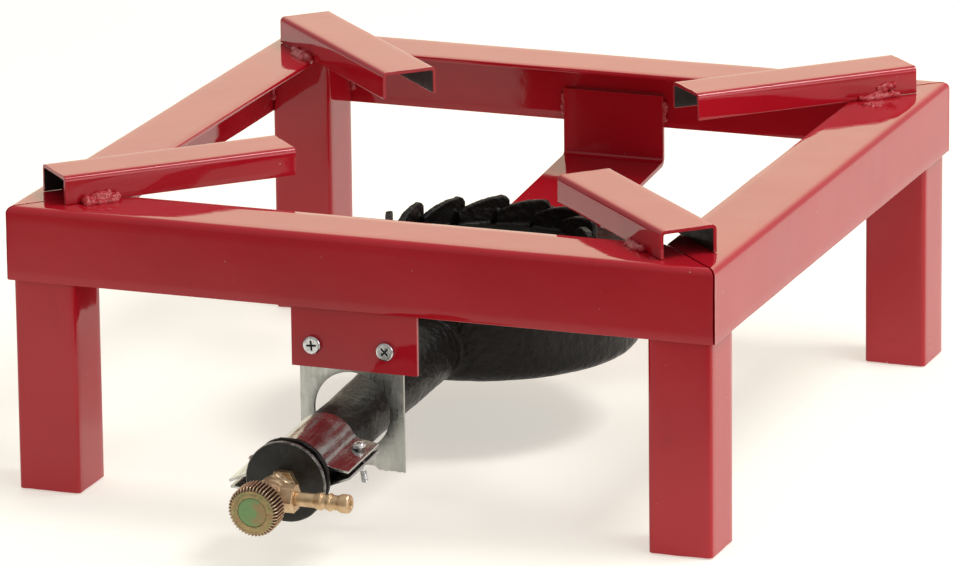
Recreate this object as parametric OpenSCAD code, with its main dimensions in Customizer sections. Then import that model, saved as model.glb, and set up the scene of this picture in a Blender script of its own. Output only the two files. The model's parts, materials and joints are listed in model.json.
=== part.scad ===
// Low square gas burner stand: a welded angle frame on four tube legs, four pot
// supports, and a cast iron swirl burner fed through a mixing tube and a needle valve.
// Millimetres, +Z up, floor at z = 0, valve side towards -Y, gas inlet towards +X.

/* [Frame] */
// Width of the square frame, left to right
frame_width = 450; // [380:5:560]
// Depth of the square frame, front to back
frame_depth = 464; // [380:2:560]
// Height of the frame's top face above the floor
frame_height = 178; // [140:1:240]
// Height of the rails' upright flanges
rail_height = 46; // [30:1:60]
// Width of the rails' top flanges
rail_flange = 45; // [30:1:60]
// Thickness of the rails
rail_thickness = 3; // [2:0.5:5]
// Outer radius of the rails' bend
rail_bend = 4.5; // [3.5:0.5:8]
// Width of the open mitre joint between two rails
mitre_gap = 0.8; // [0.4:0.1:2]

/* [Legs] */
// Side of the square leg tube
leg_size = 40; // [25:1:50]
// Wall of the leg tube
leg_wall = 2.5; // [1.5:0.5:4]
// Outer corner radius of the leg tube
leg_corner = 3; // [2.6:0.2:6]

/* [Pot supports] */
// Width of the pot support channels
support_width = 37; // [25:1:50]
// Height of the pot support channels
support_height = 17.5; // [10:0.5:30]
// Thickness of the pot support channels
support_thickness = 2.5; // [1.5:0.5:4]
// Outer radius of the channels' bends
support_bend = 3.5; // [2.6:0.1:6]
// Distance from the frame's centre to the front right channel's inner end
support_inner_front_right = 147; // [90:1:180]
// Distance from the frame's centre to the rear right channel's inner end
support_inner_rear_right = 136; // [90:1:180]
// Distance from the frame's centre to the rear left channel's inner end
support_inner_rear_left = 124; // [90:1:180]
// Distance from the frame's centre to the front left channel's inner end
support_inner_front_left = 138; // [90:1:180]
// Distance from the frame's centre to the channels' outer ends
support_outer = 290; // [260:1:310]
// Sideways shift of the right-hand channels, towards the frame's left
support_shift_right = 5; // [0:0.5:8]
// Sideways shift of the left-hand channels, towards the frame's right
support_shift_left = 1; // [0:0.5:8]

/* [Hangers] */
// Width of the front hanger plate
front_hanger_width = 80; // [60:1:120]
// Height above the floor of the front hanger's lower edge
front_hanger_bottom = 95; // [80:1:130]
// Width of the rear hanger and its tongue
rear_hanger_width = 68; // [50:1:100]
// Height above the floor of the rear hanger's upper edge
rear_hanger_top = 154; // [145:1:168]
// Height above the floor where the rear hanger starts to bend
rear_hanger_fold = 113; // [105:1:125]
// Downward slope of the rear tongue towards the burner
tongue_slope = 4.5; // [0:0.5:8]
// Thickness of the hanger plates
hanger_thickness = 3; // [2:0.5:5]

/* [Tube plate] */
// Width of the zinc-plated tube plate
plate_width = 66.5; // [60:0.5:90]
// Height above the floor of the tube plate's lower edge
plate_bottom = 33; // [20:1:40]
// Height of the step in the tube plate's lower edge
plate_step = 3; // [0:0.5:6]
// Thickness of the tube plate
plate_thickness = 2; // [1:0.5:4]
// Radius of the round opening for the mixing tube
plate_hole_r = 24.2; // [22:0.1:30]
// Height above the floor of the round opening's centre
plate_hole_z = 68.8; // [60:0.2:80]
// Distance between the two plate screws
plate_screw_pitch = 46.6; // [30:0.2:60]
// Height above the floor of the plate screws
plate_screw_z = 109; // [100:0.5:120]

/* [Burner] */
// Sideways offset of the burner from the frame's centre
burner_x = -5; // [-15:0.5:15]
// Height above the floor of the pan's underside
pan_bottom = 50; // [40:1:70]
// Height above the floor of the pan's rim
pan_rim = 102; // [90:1:110]
// Outer radius of the pan
pan_r = 98; // [80:1:110]
// Wall thickness of the pan casting
pan_wall = 4.5; // [3:0.5:8]
// Height above the floor of the vanes' highest points
vane_top = 125; // [118:1:135]
// Outer radius of the ring of vanes
vane_r = 69; // [55:0.5:80]
// Number of vanes
vane_count = 15; // [8:1:24]
// Angle of the vanes from the radial direction
vane_slant = 60; // [30:1:65]
// Length of each vane
vane_length = 34; // [20:1:40]
// Thickness of each vane
vane_thickness = 4.5; // [4:0.5:10]
// Drop of a vane's top from its outer to its inner end
vane_drop = 8; // [2:0.5:13]

/* [Mixing tube] */
// Outer radius of the mixing tube
tube_r = 18.3; // [15:0.1:22]
// Radius of the mixing tube's bore
tube_bore_r = 14.2; // [10:0.2:18]
// Rise of the mixing tube towards the burner
tube_tilt = 3.5; // [0:0.5:8]
// Radius of the mouth flange at the tube's front end
mouth_r = 24.3; // [20:0.1:28]

/* [Tube clamp] */
// Thickness of the clamp strips
clamp_thickness = 1.5; // [1:0.1:3]
// Length of the clamp along the tube
clamp_length = 50; // [30:1:60]
// Tilt of the clamp about the tube
clamp_tilt = 7; // [0:1:15]
// Length of the right-hand clamp ears
clamp_ear_right = 16; // [14:1:30]
// Length of the left-hand clamp ears
clamp_ear_left = 26; // [14:1:34]

/* [Air shutter and valve] */
// Radius of the air shutter disc
shutter_r = 24.8; // [20:0.1:30]
// Thickness of the air shutter disc
shutter_thickness = 3.2; // [2:0.2:6]
// Air gap between the shutter and the tube's mouth
air_gap = 5; // [4.8:0.1:8]
// Radius of the valve's threaded nose
nose_r = 6; // [5:0.1:8]
// Radius of the hand knob over its knurl
knob_r = 15.5; // [12:0.1:20]
// Thickness of the hand knob
knob_depth = 15; // [10:0.5:20]
// Number of ribs on the knob
knob_ribs = 44; // [24:2:72]
// Radius of the needle valve's stem
stem_r = 3; // [2.5:0.1:3.5]
// Radius of the hose barb's end bead
barb_r = 5.6; // [4.5:0.1:7]
// Length of the hose barb beyond the valve's hexagon
barb_length = 34; // [25:1:45]

/* [Hidden] */
$fn = 96;
eps = 0.01;
cut = 200;
wx = frame_width / 2;
wy = frame_depth / 2;
rail_bottom = frame_height - rail_height;
leg_x = wx - rail_thickness - leg_size / 2;
leg_y = wy - rail_thickness - leg_size / 2;
leg_top = frame_height - rail_bend - 0.5;
support_angles = [-45, 45, 135, 225];
support_inner = [support_inner_front_right, support_inner_rear_right,
    support_inner_rear_left, support_inner_front_left];
support_shift = [-support_shift_right, support_shift_right,
    -support_shift_left, support_shift_left];
running = 0.05;

weld_leg = 4;
support_weld_start = 242;
support_weld_length = 40;
leg_weld_lift = 6;
leg_weld_drop = 3.5;
rear_weld_z = [137, 150];
front_weld_z = [140, 166];

front_hanger_x = -2;
front_hanger_y = -wy + rail_thickness;
front_hanger_top = frame_height - rail_bend - 4;
plate_y = front_hanger_y + hanger_thickness;
plate_top = 129;
screw_r = 2.5;
screw_clear_r = 2.8;
screw_head_r = 5.6;
screw_head_h = 3;
nut_flats = 8;
nut_h = 4;

rear_hanger_y = wy - rail_thickness - hanger_thickness;
rear_bend_r = 3;
tongue_length = 119;
tongue_bolt_at = 109;
tongue_bolt_r = 3;
lug_thickness = 8;
lug_width = 30;
lug_length = 32;

tube_start_z = 63.2;
tube_taper_r = 20.6;
taper_length = 120;
taper_end_s = -20;
mouth_s = 100;
mouth_thickness = 4;
bridge_s = 84;
bridge_length = 8;
hub_r = 9.5;

shutter_s = mouth_s + air_gap;
lock_s = shutter_s + shutter_thickness + 0.3;
lock_h = 5;
lock_flats = 16;
body_s = lock_s + lock_h + 4.2;
barb_s = body_s + 14;
gland_s = body_s + 21.5;
gland_h = 5;
knob_s = gland_s + gland_h + 0.6;
arm_hex_flats = 15;
arm_length = 16.4;
seat_back = 3;
knob_grip = 10;
cap_r = 8.8;
cap_depth = 0.9;
cap_thickness = 0.7;

clamp_s = 42;
clamp_in = tube_r + 0.15;
clamp_mid = clamp_in + clamp_thickness / 2;
ear_droop = 18;
clamp_screw_r = 2;
clamp_screw_x = [27, -36];
clamp_screw_s = [14, 24];
clamp_screw_length = 22;
clamp_screw_head_h = 2.6;
ear_slope_gap = 2.2;

// Angles where the clamp's halves leave the tube, and the corners of their ears
upper_fold = 9;
lower_fold_right = 28;
lower_fold_left = 40;
upper_right = clamp_mid * [cos(upper_fold), sin(upper_fold)];
upper_left = clamp_mid * [-cos(upper_fold), sin(upper_fold)];
tip_right = upper_right + clamp_ear_right * [cos(ear_droop), -sin(ear_droop)];
tip_left = upper_left + clamp_ear_left * [-cos(ear_droop), -sin(ear_droop)];
lower_right = clamp_mid * [cos(lower_fold_right), -sin(lower_fold_right)];
lower_left = clamp_mid * [-cos(lower_fold_left), -sin(lower_fold_left)];
ear_gap = [0, clamp_thickness * 1.25];

// Height of the upper ear's top face and of the lower ear's underside at a screw
function on_line(a, b, x) = a[1] + (b[1] - a[1]) * (x - a[0]) / (b[0] - a[0]);
ear_tops = [on_line(upper_right, tip_right, clamp_screw_x[0]),
    on_line(upper_left, tip_left, clamp_screw_x[1])];
ear_unders = [on_line(lower_right, tip_right - ear_gap, clamp_screw_x[0]),
    on_line(lower_left, tip_left - ear_gap, clamp_screw_x[1])];

vane_pitch = 360 / vane_count;
first_vane = 97.2;
vane_nose = 4;
port_width = 4;
port_start = 5;
port_length = 20;
deck_top = 109;
deck_thickness = 4;
deck_r = 72;
lid_r = 97;
boss_h = 3;
washer_h = 1.5;
post_r = 9;
crown_bolt_r = 4;

// Reach of the knob in front of the frame's centre, and the shift that puts the
// origin under the middle of the whole part's box
front_reach = (knob_s + knob_depth) * cos(tube_tilt) + (knob_r - 2) * sin(tube_tilt) - plate_y;
shift_y = (front_reach - wy) / 2;

module placed() {
    translate([0, shift_y, 0]) children();
}

// Frame
module angle_section(width, height, t, r_out) {
    r_in = r_out - t;
    difference() {
        union() {
            translate([r_out, -height]) square([width - r_out, height]);
            translate([0, -height]) square([r_out, height - r_out]);
            translate([r_out, -r_out]) circle(r_out);
        }
        union() {
            translate([t, -height - 1]) square([width, height + 1 - t - r_in]);
            translate([t + r_in, -height - 1]) square([width, height + 1 - t]);
            translate([t + r_in, -t - r_in]) circle(r_in);
        }
    }
}

// A rail along X whose outer face is at y = 0, seen from the frame's front
module rail(length) {
    m = mitre_gap / sqrt(2);
    reach = 80;
    intersection() {
        translate([-length / 2, 0, frame_height])
            rotate([90, 0, 90])
            linear_extrude(length)
            angle_section(rail_flange, rail_height, rail_thickness, rail_bend);
        linear_extrude(frame_height + 1)
            polygon([[-length / 2 + m, 0], [length / 2 - m, 0],
                [length / 2 - m - reach, reach], [-length / 2 + m + reach, reach]]);
    }
}

module front_rail() {
    color([0.55, 0.03, 0.04]) placed() translate([0, -wy, 0]) rail(frame_width);
}

module rear_rail() {
    color([0.55, 0.03, 0.04]) placed() translate([0, wy, 0]) rotate([0, 0, 180]) rail(frame_width);
}

module right_rail() {
    color([0.55, 0.03, 0.04]) placed() translate([wx, 0, 0]) rotate([0, 0, 90]) rail(frame_depth);
}

module left_rail() {
    color([0.55, 0.03, 0.04]) placed() translate([-wx, 0, 0]) rotate([0, 0, -90]) rail(frame_depth);
}

// A three-sided fillet bead along +Y from the origin, its right angle at the origin
module bead(length, size) {
    rotate([-90, 0, 0])
        linear_extrude(length)
        polygon([[0, 0], [size, 0], [0, -size]]);
}

module leg_beads() {
    z0 = rail_bottom + leg_weld_lift;
    length = leg_top - leg_weld_drop - z0;
    side = leg_x - leg_size / 2;
    fore = leg_y - leg_size / 2;
    translate([side, wy - rail_thickness, z0])
        rotate([0, 0, 180]) linear_extrude(length) polygon([[0, 0], [weld_leg, 0], [0, weld_leg]]);
    translate([wx - rail_thickness, fore, z0])
        rotate([0, 0, 180]) linear_extrude(length) polygon([[0, 0], [weld_leg, 0], [0, weld_leg]]);
}

module frame_welds() {
    color([0.55, 0.03, 0.04]) placed()
        for (mx = [0, 1], my = [0, 1])
            mirror([mx, 0, 0]) mirror([0, my, 0]) leg_beads();
}

// Legs
module rounded_square(size, r) {
    c = size / 2 - r;
    union() {
        square([size, size - 2 * r], center = true);
        square([size - 2 * r, size], center = true);
        for (px = [-c, c], py = [-c, c]) translate([px, py]) circle(r);
    }
}

module leg(sx, sy) {
    color([0.55, 0.03, 0.04]) placed()
        translate([sx * leg_x, sy * leg_y, 0])
        linear_extrude(leg_top)
        difference() {
            rounded_square(leg_size, leg_corner);
            rounded_square(leg_size - 2 * leg_wall, leg_corner - leg_wall);
        }
}

module leg_front_left() { leg(-1, -1); }
module leg_front_right() { leg(1, -1); }
module leg_rear_left() { leg(-1, 1); }
module leg_rear_right() { leg(1, 1); }

// Pot supports
module channel_section(width, height, r_out) {
    union() {
        translate([-width / 2, 0]) square([width, height - r_out]);
        translate([-width / 2 + r_out, 0]) square([width - 2 * r_out, height]);
        for (side = [-1, 1])
            translate([side * (width / 2 - r_out), height - r_out]) circle(r_out);
    }
}

module support(i) {
    t = support_thickness;
    color([0.55, 0.03, 0.04]) placed()
        rotate([0, 0, support_angles[i]])
        translate([support_inner[i], support_shift[i], frame_height])
        rotate([90, 0, 90])
        linear_extrude(support_outer - support_inner[i])
        difference() {
            channel_section(support_width, support_height, support_bend);
            translate([0, -1])
                channel_section(support_width - 2 * t, support_height + 1 - t, support_bend - t);
        }
}

module support_front_right() { support(0); }
module support_rear_right() { support(1); }
module support_rear_left() { support(2); }
module support_front_left() { support(3); }

module support_bead(i, side) {
    s = weld_leg;
    translate([support_weld_start, support_shift[i] + side * support_width / 2, frame_height])
        rotate([90, 0, 90])
        linear_extrude(support_weld_length)
        polygon([[0, 0], [side * s, 0], [0, s]]);
}

module support_welds() {
    color([0.55, 0.03, 0.04]) placed()
        for (i = [0:3], side = [-1, 1])
            rotate([0, 0, support_angles[i]]) support_bead(i, side);
}

// Hangers
module along_y(x, y, z) {
    translate([x, y, z]) rotate([-90, 0, 0]) children();
}

module front_hanger() {
    color([0.55, 0.03, 0.04]) placed()
        difference() {
            translate([front_hanger_x - front_hanger_width / 2, front_hanger_y, front_hanger_bottom])
                cube([front_hanger_width, hanger_thickness, front_hanger_top - front_hanger_bottom]);
            for (side = [-1, 1])
                along_y(burner_x + side * plate_screw_pitch / 2, front_hanger_y - 1, plate_screw_z)
                    cylinder(r = screw_clear_r, h = hanger_thickness + 2);
        }
}

function arc_points(centre, r, from, to, steps) =
    [for (i = [0:steps]) centre
        + r * [cos(from + (to - from) * i / steps), sin(from + (to - from) * i / steps)]];

// Side view of the rear hanger: a strip that turns forwards into a sloping tongue
module rear_hanger_section() {
    t = hanger_thickness;
    height = rear_hanger_top - rear_hanger_fold;
    sweep = tongue_slope - 90;
    along = [-cos(tongue_slope), -sin(tongue_slope)];
    centre = [-rear_bend_r, 0];
    inner = arc_points(centre, rear_bend_r, 0, sweep, 10);
    outer = arc_points(centre, rear_bend_r + t, sweep, 0, 10);
    polygon(concat([[0, height]], inner, [inner[10] + tongue_length * along,
        outer[0] + tongue_length * along], outer, [[t, height]]));
}

// Moves to a point on the tongue's upper face, d from the bend, with +Z out of the face
module on_tongue(d) {
    translate([burner_x,
        rear_hanger_y - rear_bend_r + rear_bend_r * sin(tongue_slope) - d * cos(tongue_slope),
        rear_hanger_fold - rear_bend_r * cos(tongue_slope) - d * sin(tongue_slope)])
        rotate([tongue_slope, 0, 0])
        children();
}

module rear_hanger() {
    color([0.55, 0.03, 0.04]) placed()
        difference() {
            translate([-rear_hanger_width / 2, rear_hanger_y, rear_hanger_fold])
                rotate([90, 0, 90])
                linear_extrude(rear_hanger_width)
                rear_hanger_section();
            on_tongue(tongue_bolt_at)
                translate([0, 0, -hanger_thickness - 2])
                cylinder(r = tongue_bolt_r + 0.3, h = hanger_thickness + 4);
        }
}

module hanger_bead(x, y, z, sx, sy) {
    translate([x, y, z[0]])
        linear_extrude(z[1] - z[0])
        polygon([[0, 0], [sx * hanger_thickness, 0], [0, sy * hanger_thickness]]);
}

module hanger_welds() {
    rear_face = wy - rail_thickness;
    front_face = -wy + rail_thickness;
    color([0.55, 0.03, 0.04]) placed() {
        for (side = [-1, 1]) {
            hanger_bead(side * rear_hanger_width / 2, rear_face, rear_weld_z, side, -1);
            hanger_bead(front_hanger_x + side * front_hanger_width / 2, front_face,
                front_weld_z, side, 1);
        }
    }
}

// Tube plate and its fasteners
module tube_plate() {
    left = burner_x - plate_width / 2;
    right = burner_x + plate_width / 2;
    step_x = burner_x + 16;
    color([0.62, 0.64, 0.62]) placed()
        difference() {
            translate([0, plate_y + plate_thickness, 0])
                rotate([90, 0, 0])
                linear_extrude(plate_thickness)
                polygon([[left, plate_bottom + plate_step], [step_x - 1.5, plate_bottom + plate_step],
                    [step_x, plate_bottom], [right, plate_bottom], [right, plate_top],
                    [left, plate_top]]);
            along_y(burner_x, plate_y - 1, plate_hole_z)
                cylinder(r = plate_hole_r, h = plate_thickness + 2);
            for (side = [-1, 1])
                along_y(burner_x + side * plate_screw_pitch / 2, plate_y - 1, plate_screw_z)
                    cylinder(r = screw_clear_r, h = plate_thickness + 2);
        }
}

// Pan head screw, head top at the origin, shank along +Z, with a cross recess
module pan_screw(head_r, head_h, shank_r, shank_l) {
    dome = 1.1;
    recess = 1.6;
    difference() {
        union() {
            rotate_extrude()
                difference() {
                    square([head_r, head_h]);
                    translate([head_r - dome, 0])
                        difference() {
                            translate([0, -1]) square([dome + 1, dome + 1]);
                            translate([0, dome]) circle(dome);
                        }
                }
            cylinder(r = shank_r, h = head_h + shank_l);
        }
        for (turn = [0, 90])
            rotate([0, 0, turn + 20])
                translate([-head_r * 0.55, -0.55, -eps])
                cube([head_r * 1.1, 1.1, recess]);
    }
}

module hex_nut(flats, h, bore) {
    difference() {
        cylinder(r = flats / sqrt(3), h = h, $fn = 6);
        translate([0, 0, -1]) cylinder(r = bore, h = h + 2);
    }
}

module plate_screws() {
    length = hanger_thickness + plate_thickness + nut_h + 3;
    color([0.72, 0.73, 0.74]) placed()
        for (side = [-1, 1])
            along_y(burner_x + side * plate_screw_pitch / 2, front_hanger_y - screw_head_h,
                plate_screw_z)
                rotate([0, 0, side * 25])
                pan_screw(screw_head_r, screw_head_h, screw_r, length);
}

module plate_nuts() {
    color([0.72, 0.73, 0.74]) placed()
        for (side = [-1, 1])
            along_y(burner_x + side * plate_screw_pitch / 2, plate_y + plate_thickness,
                plate_screw_z)
                rotate([0, 0, 10 + side * 12]) hex_nut(nut_flats, nut_h, screw_r + running);
}

// Moves along the mixing tube's axis: s is the distance from the tube plate towards the
// valve, +Z points towards the valve, +X stays to the right and +Y points up
module on_tube(s) {
    translate([burner_x, plate_y - s * cos(tube_tilt), tube_start_z - s * sin(tube_tilt)])
        rotate([90 + tube_tilt, 0, 0])
        children();
}

// Burner
module pan_profile(r, bottom, top, edge) {
    square([r - edge, top - bottom]);
    translate([0, edge]) square([r, top - bottom - edge]);
    translate([r - edge, edge]) circle(edge);
}

module pan_outside() {
    rotate_extrude()
        intersection() {
            pan_profile(pan_r, pan_bottom, pan_rim, 9);
            square([pan_r + 1, pan_rim - pan_bottom]);
        }
}

module pan_inside() {
    height = pan_rim - pan_bottom - pan_wall;
    translate([0, 0, pan_wall])
        difference() {
            rotate_extrude()
                intersection() {
                    pan_profile(pan_r - pan_wall, 0, height + 1, 5);
                    square([pan_r, height + 1]);
                }
            cylinder(r = post_r, h = height + 2);
        }
}

module rear_lug() {
    t = hanger_thickness;
    intersection() {
        on_tongue(tongue_bolt_at)
            translate([0, 0, -t - lug_thickness])
            union() {
                cylinder(r = lug_width / 2, h = lug_thickness);
                translate([-lug_width / 2, -lug_length, 0])
                    cube([lug_width, lug_length, lug_thickness]);
            }
        translate([-cut, pan_r - pan_wall - 1, 0]) cube([2 * cut, cut, pan_rim]);
    }
}

module mixing_tube_outside() {
    on_tube(taper_end_s - taper_length) cylinder(r1 = tube_taper_r, r2 = tube_r, h = taper_length);
    on_tube(taper_end_s) cylinder(r = tube_r, h = mouth_s - taper_end_s);
    on_tube(mouth_s - 2 * mouth_thickness)
        cylinder(r1 = tube_r, r2 = mouth_r, h = mouth_thickness);
    on_tube(mouth_s - mouth_thickness) cylinder(r = mouth_r, h = mouth_thickness);
}

// A bar across the tube's mouth with a threaded hub that carries the valve
module bridge() {
    on_tube(bridge_s)
        difference() {
            union() {
                cylinder(r = hub_r, h = bridge_length);
                translate([-4, -tube_r + 1, 0]) cube([8, 2 * tube_r - 2, bridge_length]);
            }
            translate([0, 0, -1]) cylinder(r = nose_r + running, h = bridge_length + 2);
        }
}

module burner_pan() {
    color([0.09, 0.09, 0.085]) placed() {
        difference() {
            union() {
                translate([burner_x, 0, pan_bottom]) pan_outside();
                mixing_tube_outside();
                rear_lug();
            }
            translate([burner_x, 0, pan_bottom]) pan_inside();
            on_tube(taper_end_s - taper_length)
                cylinder(r = tube_bore_r, h = taper_length + mouth_s - taper_end_s + 1);
            on_tube(mouth_s - 12) cylinder(r1 = tube_bore_r, r2 = mouth_r - 3.5, h = 12 + eps);
            translate([burner_x, 0, pan_rim - 26]) cylinder(r = crown_bolt_r + running, h = 40);
            on_tongue(tongue_bolt_at)
                translate([0, 0, -30]) cylinder(r = tongue_bolt_r + 0.3, h = 30);
        }
        bridge();
    }
}

// Side view of a vane: a rounded nose at the outer end and a top that falls in an arc
module vane_side() {
    bottom = deck_top - 1;
    run = vane_length - vane_nose;
    r = (run * run + vane_drop * vane_drop) / (2 * vane_drop);
    fall = asin(run / r);
    nose = arc_points([vane_nose, vane_top - vane_nose], vane_nose, 180, 90, 4);
    top = arc_points([vane_nose, vane_top - r], r, 90 - fall / 8, 90 - fall, 7);
    polygon(concat([[0, bottom]], nose, top, [[vane_length, bottom]]));
}

// Moves to a point on the ring of vanes, with +X inwards along the vane
module on_vane(angle) {
    rotate([0, 0, angle]) translate([vane_r, 0, 0]) rotate([0, 0, 180 - vane_slant]) children();
}

module vanes() {
    for (k = [0:vane_count - 1])
        on_vane(first_vane + k * vane_pitch)
            translate([0, vane_thickness / 2, 0])
            rotate([90, 0, 0])
            linear_extrude(vane_thickness)
            vane_side();
}

// Slots through the deck between the vanes
module ports() {
    for (k = [0:vane_count - 1])
        on_vane(first_vane + (k + 0.5) * vane_pitch)
            translate([port_start, -port_width / 2, deck_top - deck_thickness - 1])
            cube([port_length, port_width, deck_thickness + 2]);
}

module deck() {
    under = deck_top - deck_thickness;
    rotate_extrude()
        polygon([[0, under], [deck_r - 2, under], [lid_r - 6, pan_rim], [lid_r, pan_rim],
            [lid_r, pan_rim + 2.5], [deck_r, deck_top], [0, deck_top]]);
}

module burner_crown() {
    color([0.09, 0.09, 0.085]) placed()
        translate([burner_x, 0, 0])
        difference() {
            union() {
                deck();
                vanes();
                translate([0, 0, deck_top - deck_thickness])
                    cylinder(r = 12, h = deck_thickness + boss_h);
            }
            translate([0, 0, deck_top - deck_thickness - 1])
                cylinder(r = crown_bolt_r + 0.3, h = deck_thickness + 8);
            ports();
        }
}

module crown_washer() {
    color([0.45, 0.45, 0.46]) placed()
        translate([burner_x, 0, deck_top + boss_h])
        difference() {
            cylinder(r = 8.5, h = washer_h);
            translate([0, 0, -1]) cylinder(r = crown_bolt_r + 0.3, h = 4);
        }
}

module crown_bolt() {
    head_z = deck_top + boss_h + washer_h;
    color([0.45, 0.45, 0.46]) placed()
        translate([burner_x, 0, 0])
        union() {
            translate([0, 0, head_z]) cylinder(r = 13 / sqrt(3), h = 5.3, $fn = 6);
            translate([0, 0, pan_rim - 24]) cylinder(r = crown_bolt_r, h = head_z + 24 - pan_rim + 1);
        }
}

module tongue_bolt() {
    color([0.45, 0.45, 0.46]) placed()
        on_tongue(tongue_bolt_at)
        union() {
            cylinder(r = 10 / sqrt(3), h = 4, $fn = 6);
            translate([0, 0, -hanger_thickness - lug_thickness - 8])
                cylinder(r = tongue_bolt_r, h = hanger_thickness + lug_thickness + 9);
        }
}

module tongue_nut() {
    color([0.45, 0.45, 0.46]) placed()
        on_tongue(tongue_bolt_at)
        translate([0, 0, -hanger_thickness - lug_thickness - 5])
        hex_nut(10, 5, tongue_bolt_r + running);
}

// Tube clamp: x is across the tube and y is up in the tilted cross-section
module strip(p, q) {
    d = q - p;
    t = clamp_thickness;
    translate(p)
        rotate([0, 0, atan2(d[1], d[0])])
        translate([0, -t / 2])
        square([norm(d), t]);
}

module ring_part(from, to) {
    far = 60;
    mid = (from + to) / 2;
    intersection() {
        difference() {
            circle(clamp_in + clamp_thickness);
            circle(clamp_in);
        }
        polygon([[0, 0], far * [cos(from), sin(from)], far * [cos(mid - 30), sin(mid - 30)],
            far * [cos(mid + 30), sin(mid + 30)], far * [cos(to), sin(to)]]);
    }
}

module clamp_holes() {
    for (i = [0, 1])
        translate([clamp_screw_x[i], 40, clamp_screw_s[i]])
            rotate([90, 0, 0])
            cylinder(r = clamp_screw_r + 0.3, h = 80);
}

module on_clamp() {
    on_tube(clamp_s) rotate([0, 0, clamp_tilt]) children();
}

module clamp_saddle() {
    color([0.66, 0.67, 0.66]) placed()
        on_clamp()
        difference() {
            linear_extrude(clamp_length)
                union() {
                    ring_part(upper_fold, 180 - upper_fold);
                    strip(upper_right, tip_right);
                    strip(upper_left, tip_left);
                }
            clamp_holes();
        }
}

module clamp_cradle() {
    color([0.66, 0.67, 0.66]) placed()
        on_clamp()
        difference() {
            linear_extrude(clamp_length)
                union() {
                    ring_part(180 + lower_fold_left, 360 - lower_fold_right);
                    strip(lower_right, tip_right - ear_gap);
                    strip(lower_left, tip_left - ear_gap);
                }
            clamp_holes();
        }
}

module clamp_screws() {
    color([0.72, 0.73, 0.74]) placed()
        on_clamp()
        for (i = [0, 1])
            translate([clamp_screw_x[i], ear_tops[i] + ear_slope_gap + clamp_screw_head_h,
                clamp_screw_s[i]])
                rotate([90, 0, 0])
                pan_screw(2 * clamp_screw_r, clamp_screw_head_h, clamp_screw_r, clamp_screw_length);
}

module clamp_nuts() {
    color([0.72, 0.73, 0.74]) placed()
        on_clamp()
        for (i = [0, 1])
            translate([clamp_screw_x[i], ear_unders[i] - ear_slope_gap, clamp_screw_s[i]])
                rotate([90, 0, 0])
                hex_nut(7, 3.2, clamp_screw_r + running);
}

// Air shutter
module shutter_profile() {
    edge = 1;
    bore = nose_r + running;
    translate([bore, 0]) square([shutter_r - bore, shutter_thickness - edge]);
    translate([bore, 0]) square([shutter_r - bore - edge, shutter_thickness]);
    translate([shutter_r - edge, shutter_thickness - edge]) circle(edge);
}

module air_shutter() {
    color([0.07, 0.07, 0.07]) placed() on_tube(shutter_s) rotate_extrude() shutter_profile();
}

module shutter_lock_nut() {
    color([0.72, 0.53, 0.25]) placed()
        on_tube(lock_s)
        hex_nut(lock_flats, lock_h, nose_r + running);
}

// Needle valve
module valve_body() {
    hex_r = 18 / sqrt(3);
    core_r = 9;
    arm_hex_r = arm_hex_flats / sqrt(3);
    color([0.72, 0.53, 0.25]) placed()
        difference() {
            union() {
                on_tube(bridge_s) cylinder(r = nose_r, h = body_s - bridge_s + 1);
                on_tube(body_s) rotate([0, 0, 30]) cylinder(r = hex_r, h = 5, $fn = 6);
                on_tube(body_s + 4) cylinder(r = core_r, h = 17.5);
                on_tube(barb_s) rotate([0, 90, 0]) cylinder(r = 6.4, h = arm_length - 4);
                on_tube(barb_s) translate([arm_length - 8, 0, 0]) rotate([0, 90, 0])
                    cylinder(r = arm_hex_r, h = 8, $fn = 6);
            }
            on_tube(bridge_s - 1) cylinder(r = 2.4, h = barb_s - bridge_s);
            on_tube(barb_s - seat_back) cylinder(r = stem_r + 0.4, h = 40);
            on_tube(barb_s) rotate([0, 90, 0]) cylinder(r = 2.4, h = 40);
            on_tube(barb_s) translate([arm_length - 6, 0, 0]) rotate([0, 90, 0])
                cylinder(r = 4 + running, h = 10);
        }
}

module packing_nut() {
    color([0.72, 0.53, 0.25]) placed()
        on_tube(gland_s)
        hex_nut(13, gland_h, stem_r + running);
}

module gas_injector() {
    color([0.72, 0.53, 0.25]) placed()
        on_tube(bridge_s - 9)
        difference() {
            union() {
                cylinder(r1 = 2.2, r2 = 4.6, h = 4);
                translate([0, 0, 4]) cylinder(r = 9 / sqrt(3), h = 4.9, $fn = 6);
                translate([0, 0, 8]) cylinder(r = 2.35, h = 7);
            }
            translate([0, 0, -1]) cylinder(r = 0.5, h = 5);
            translate([0, 0, 3]) cylinder(r = 1.4, h = 13);
        }
}

module barb_profile() {
    l = barb_length;
    polygon([[2.4, -6], [4, -6], [4, 0], [4.1, 0], [4.1, l - 21.5], [4.6, l - 21.2],
        [5.3, l - 18.2], [5.3, l - 17.4], [4.4, l - 17.2], [4.4, l - 14.8],
        [5.4, l - 12.6], [5.4, l - 11.8], [4.5, l - 11.5], [4.6, l - 7.2], [barb_r, l - 5.6],
        [barb_r, l - 0.8], [barb_r - 0.8, l], [2.4, l]]);
}

module hose_barb() {
    color([0.72, 0.53, 0.25]) placed()
        on_tube(barb_s)
        translate([arm_length, 0, 0])
        rotate([0, 90, 0])
        rotate_extrude() barb_profile();
}

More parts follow.
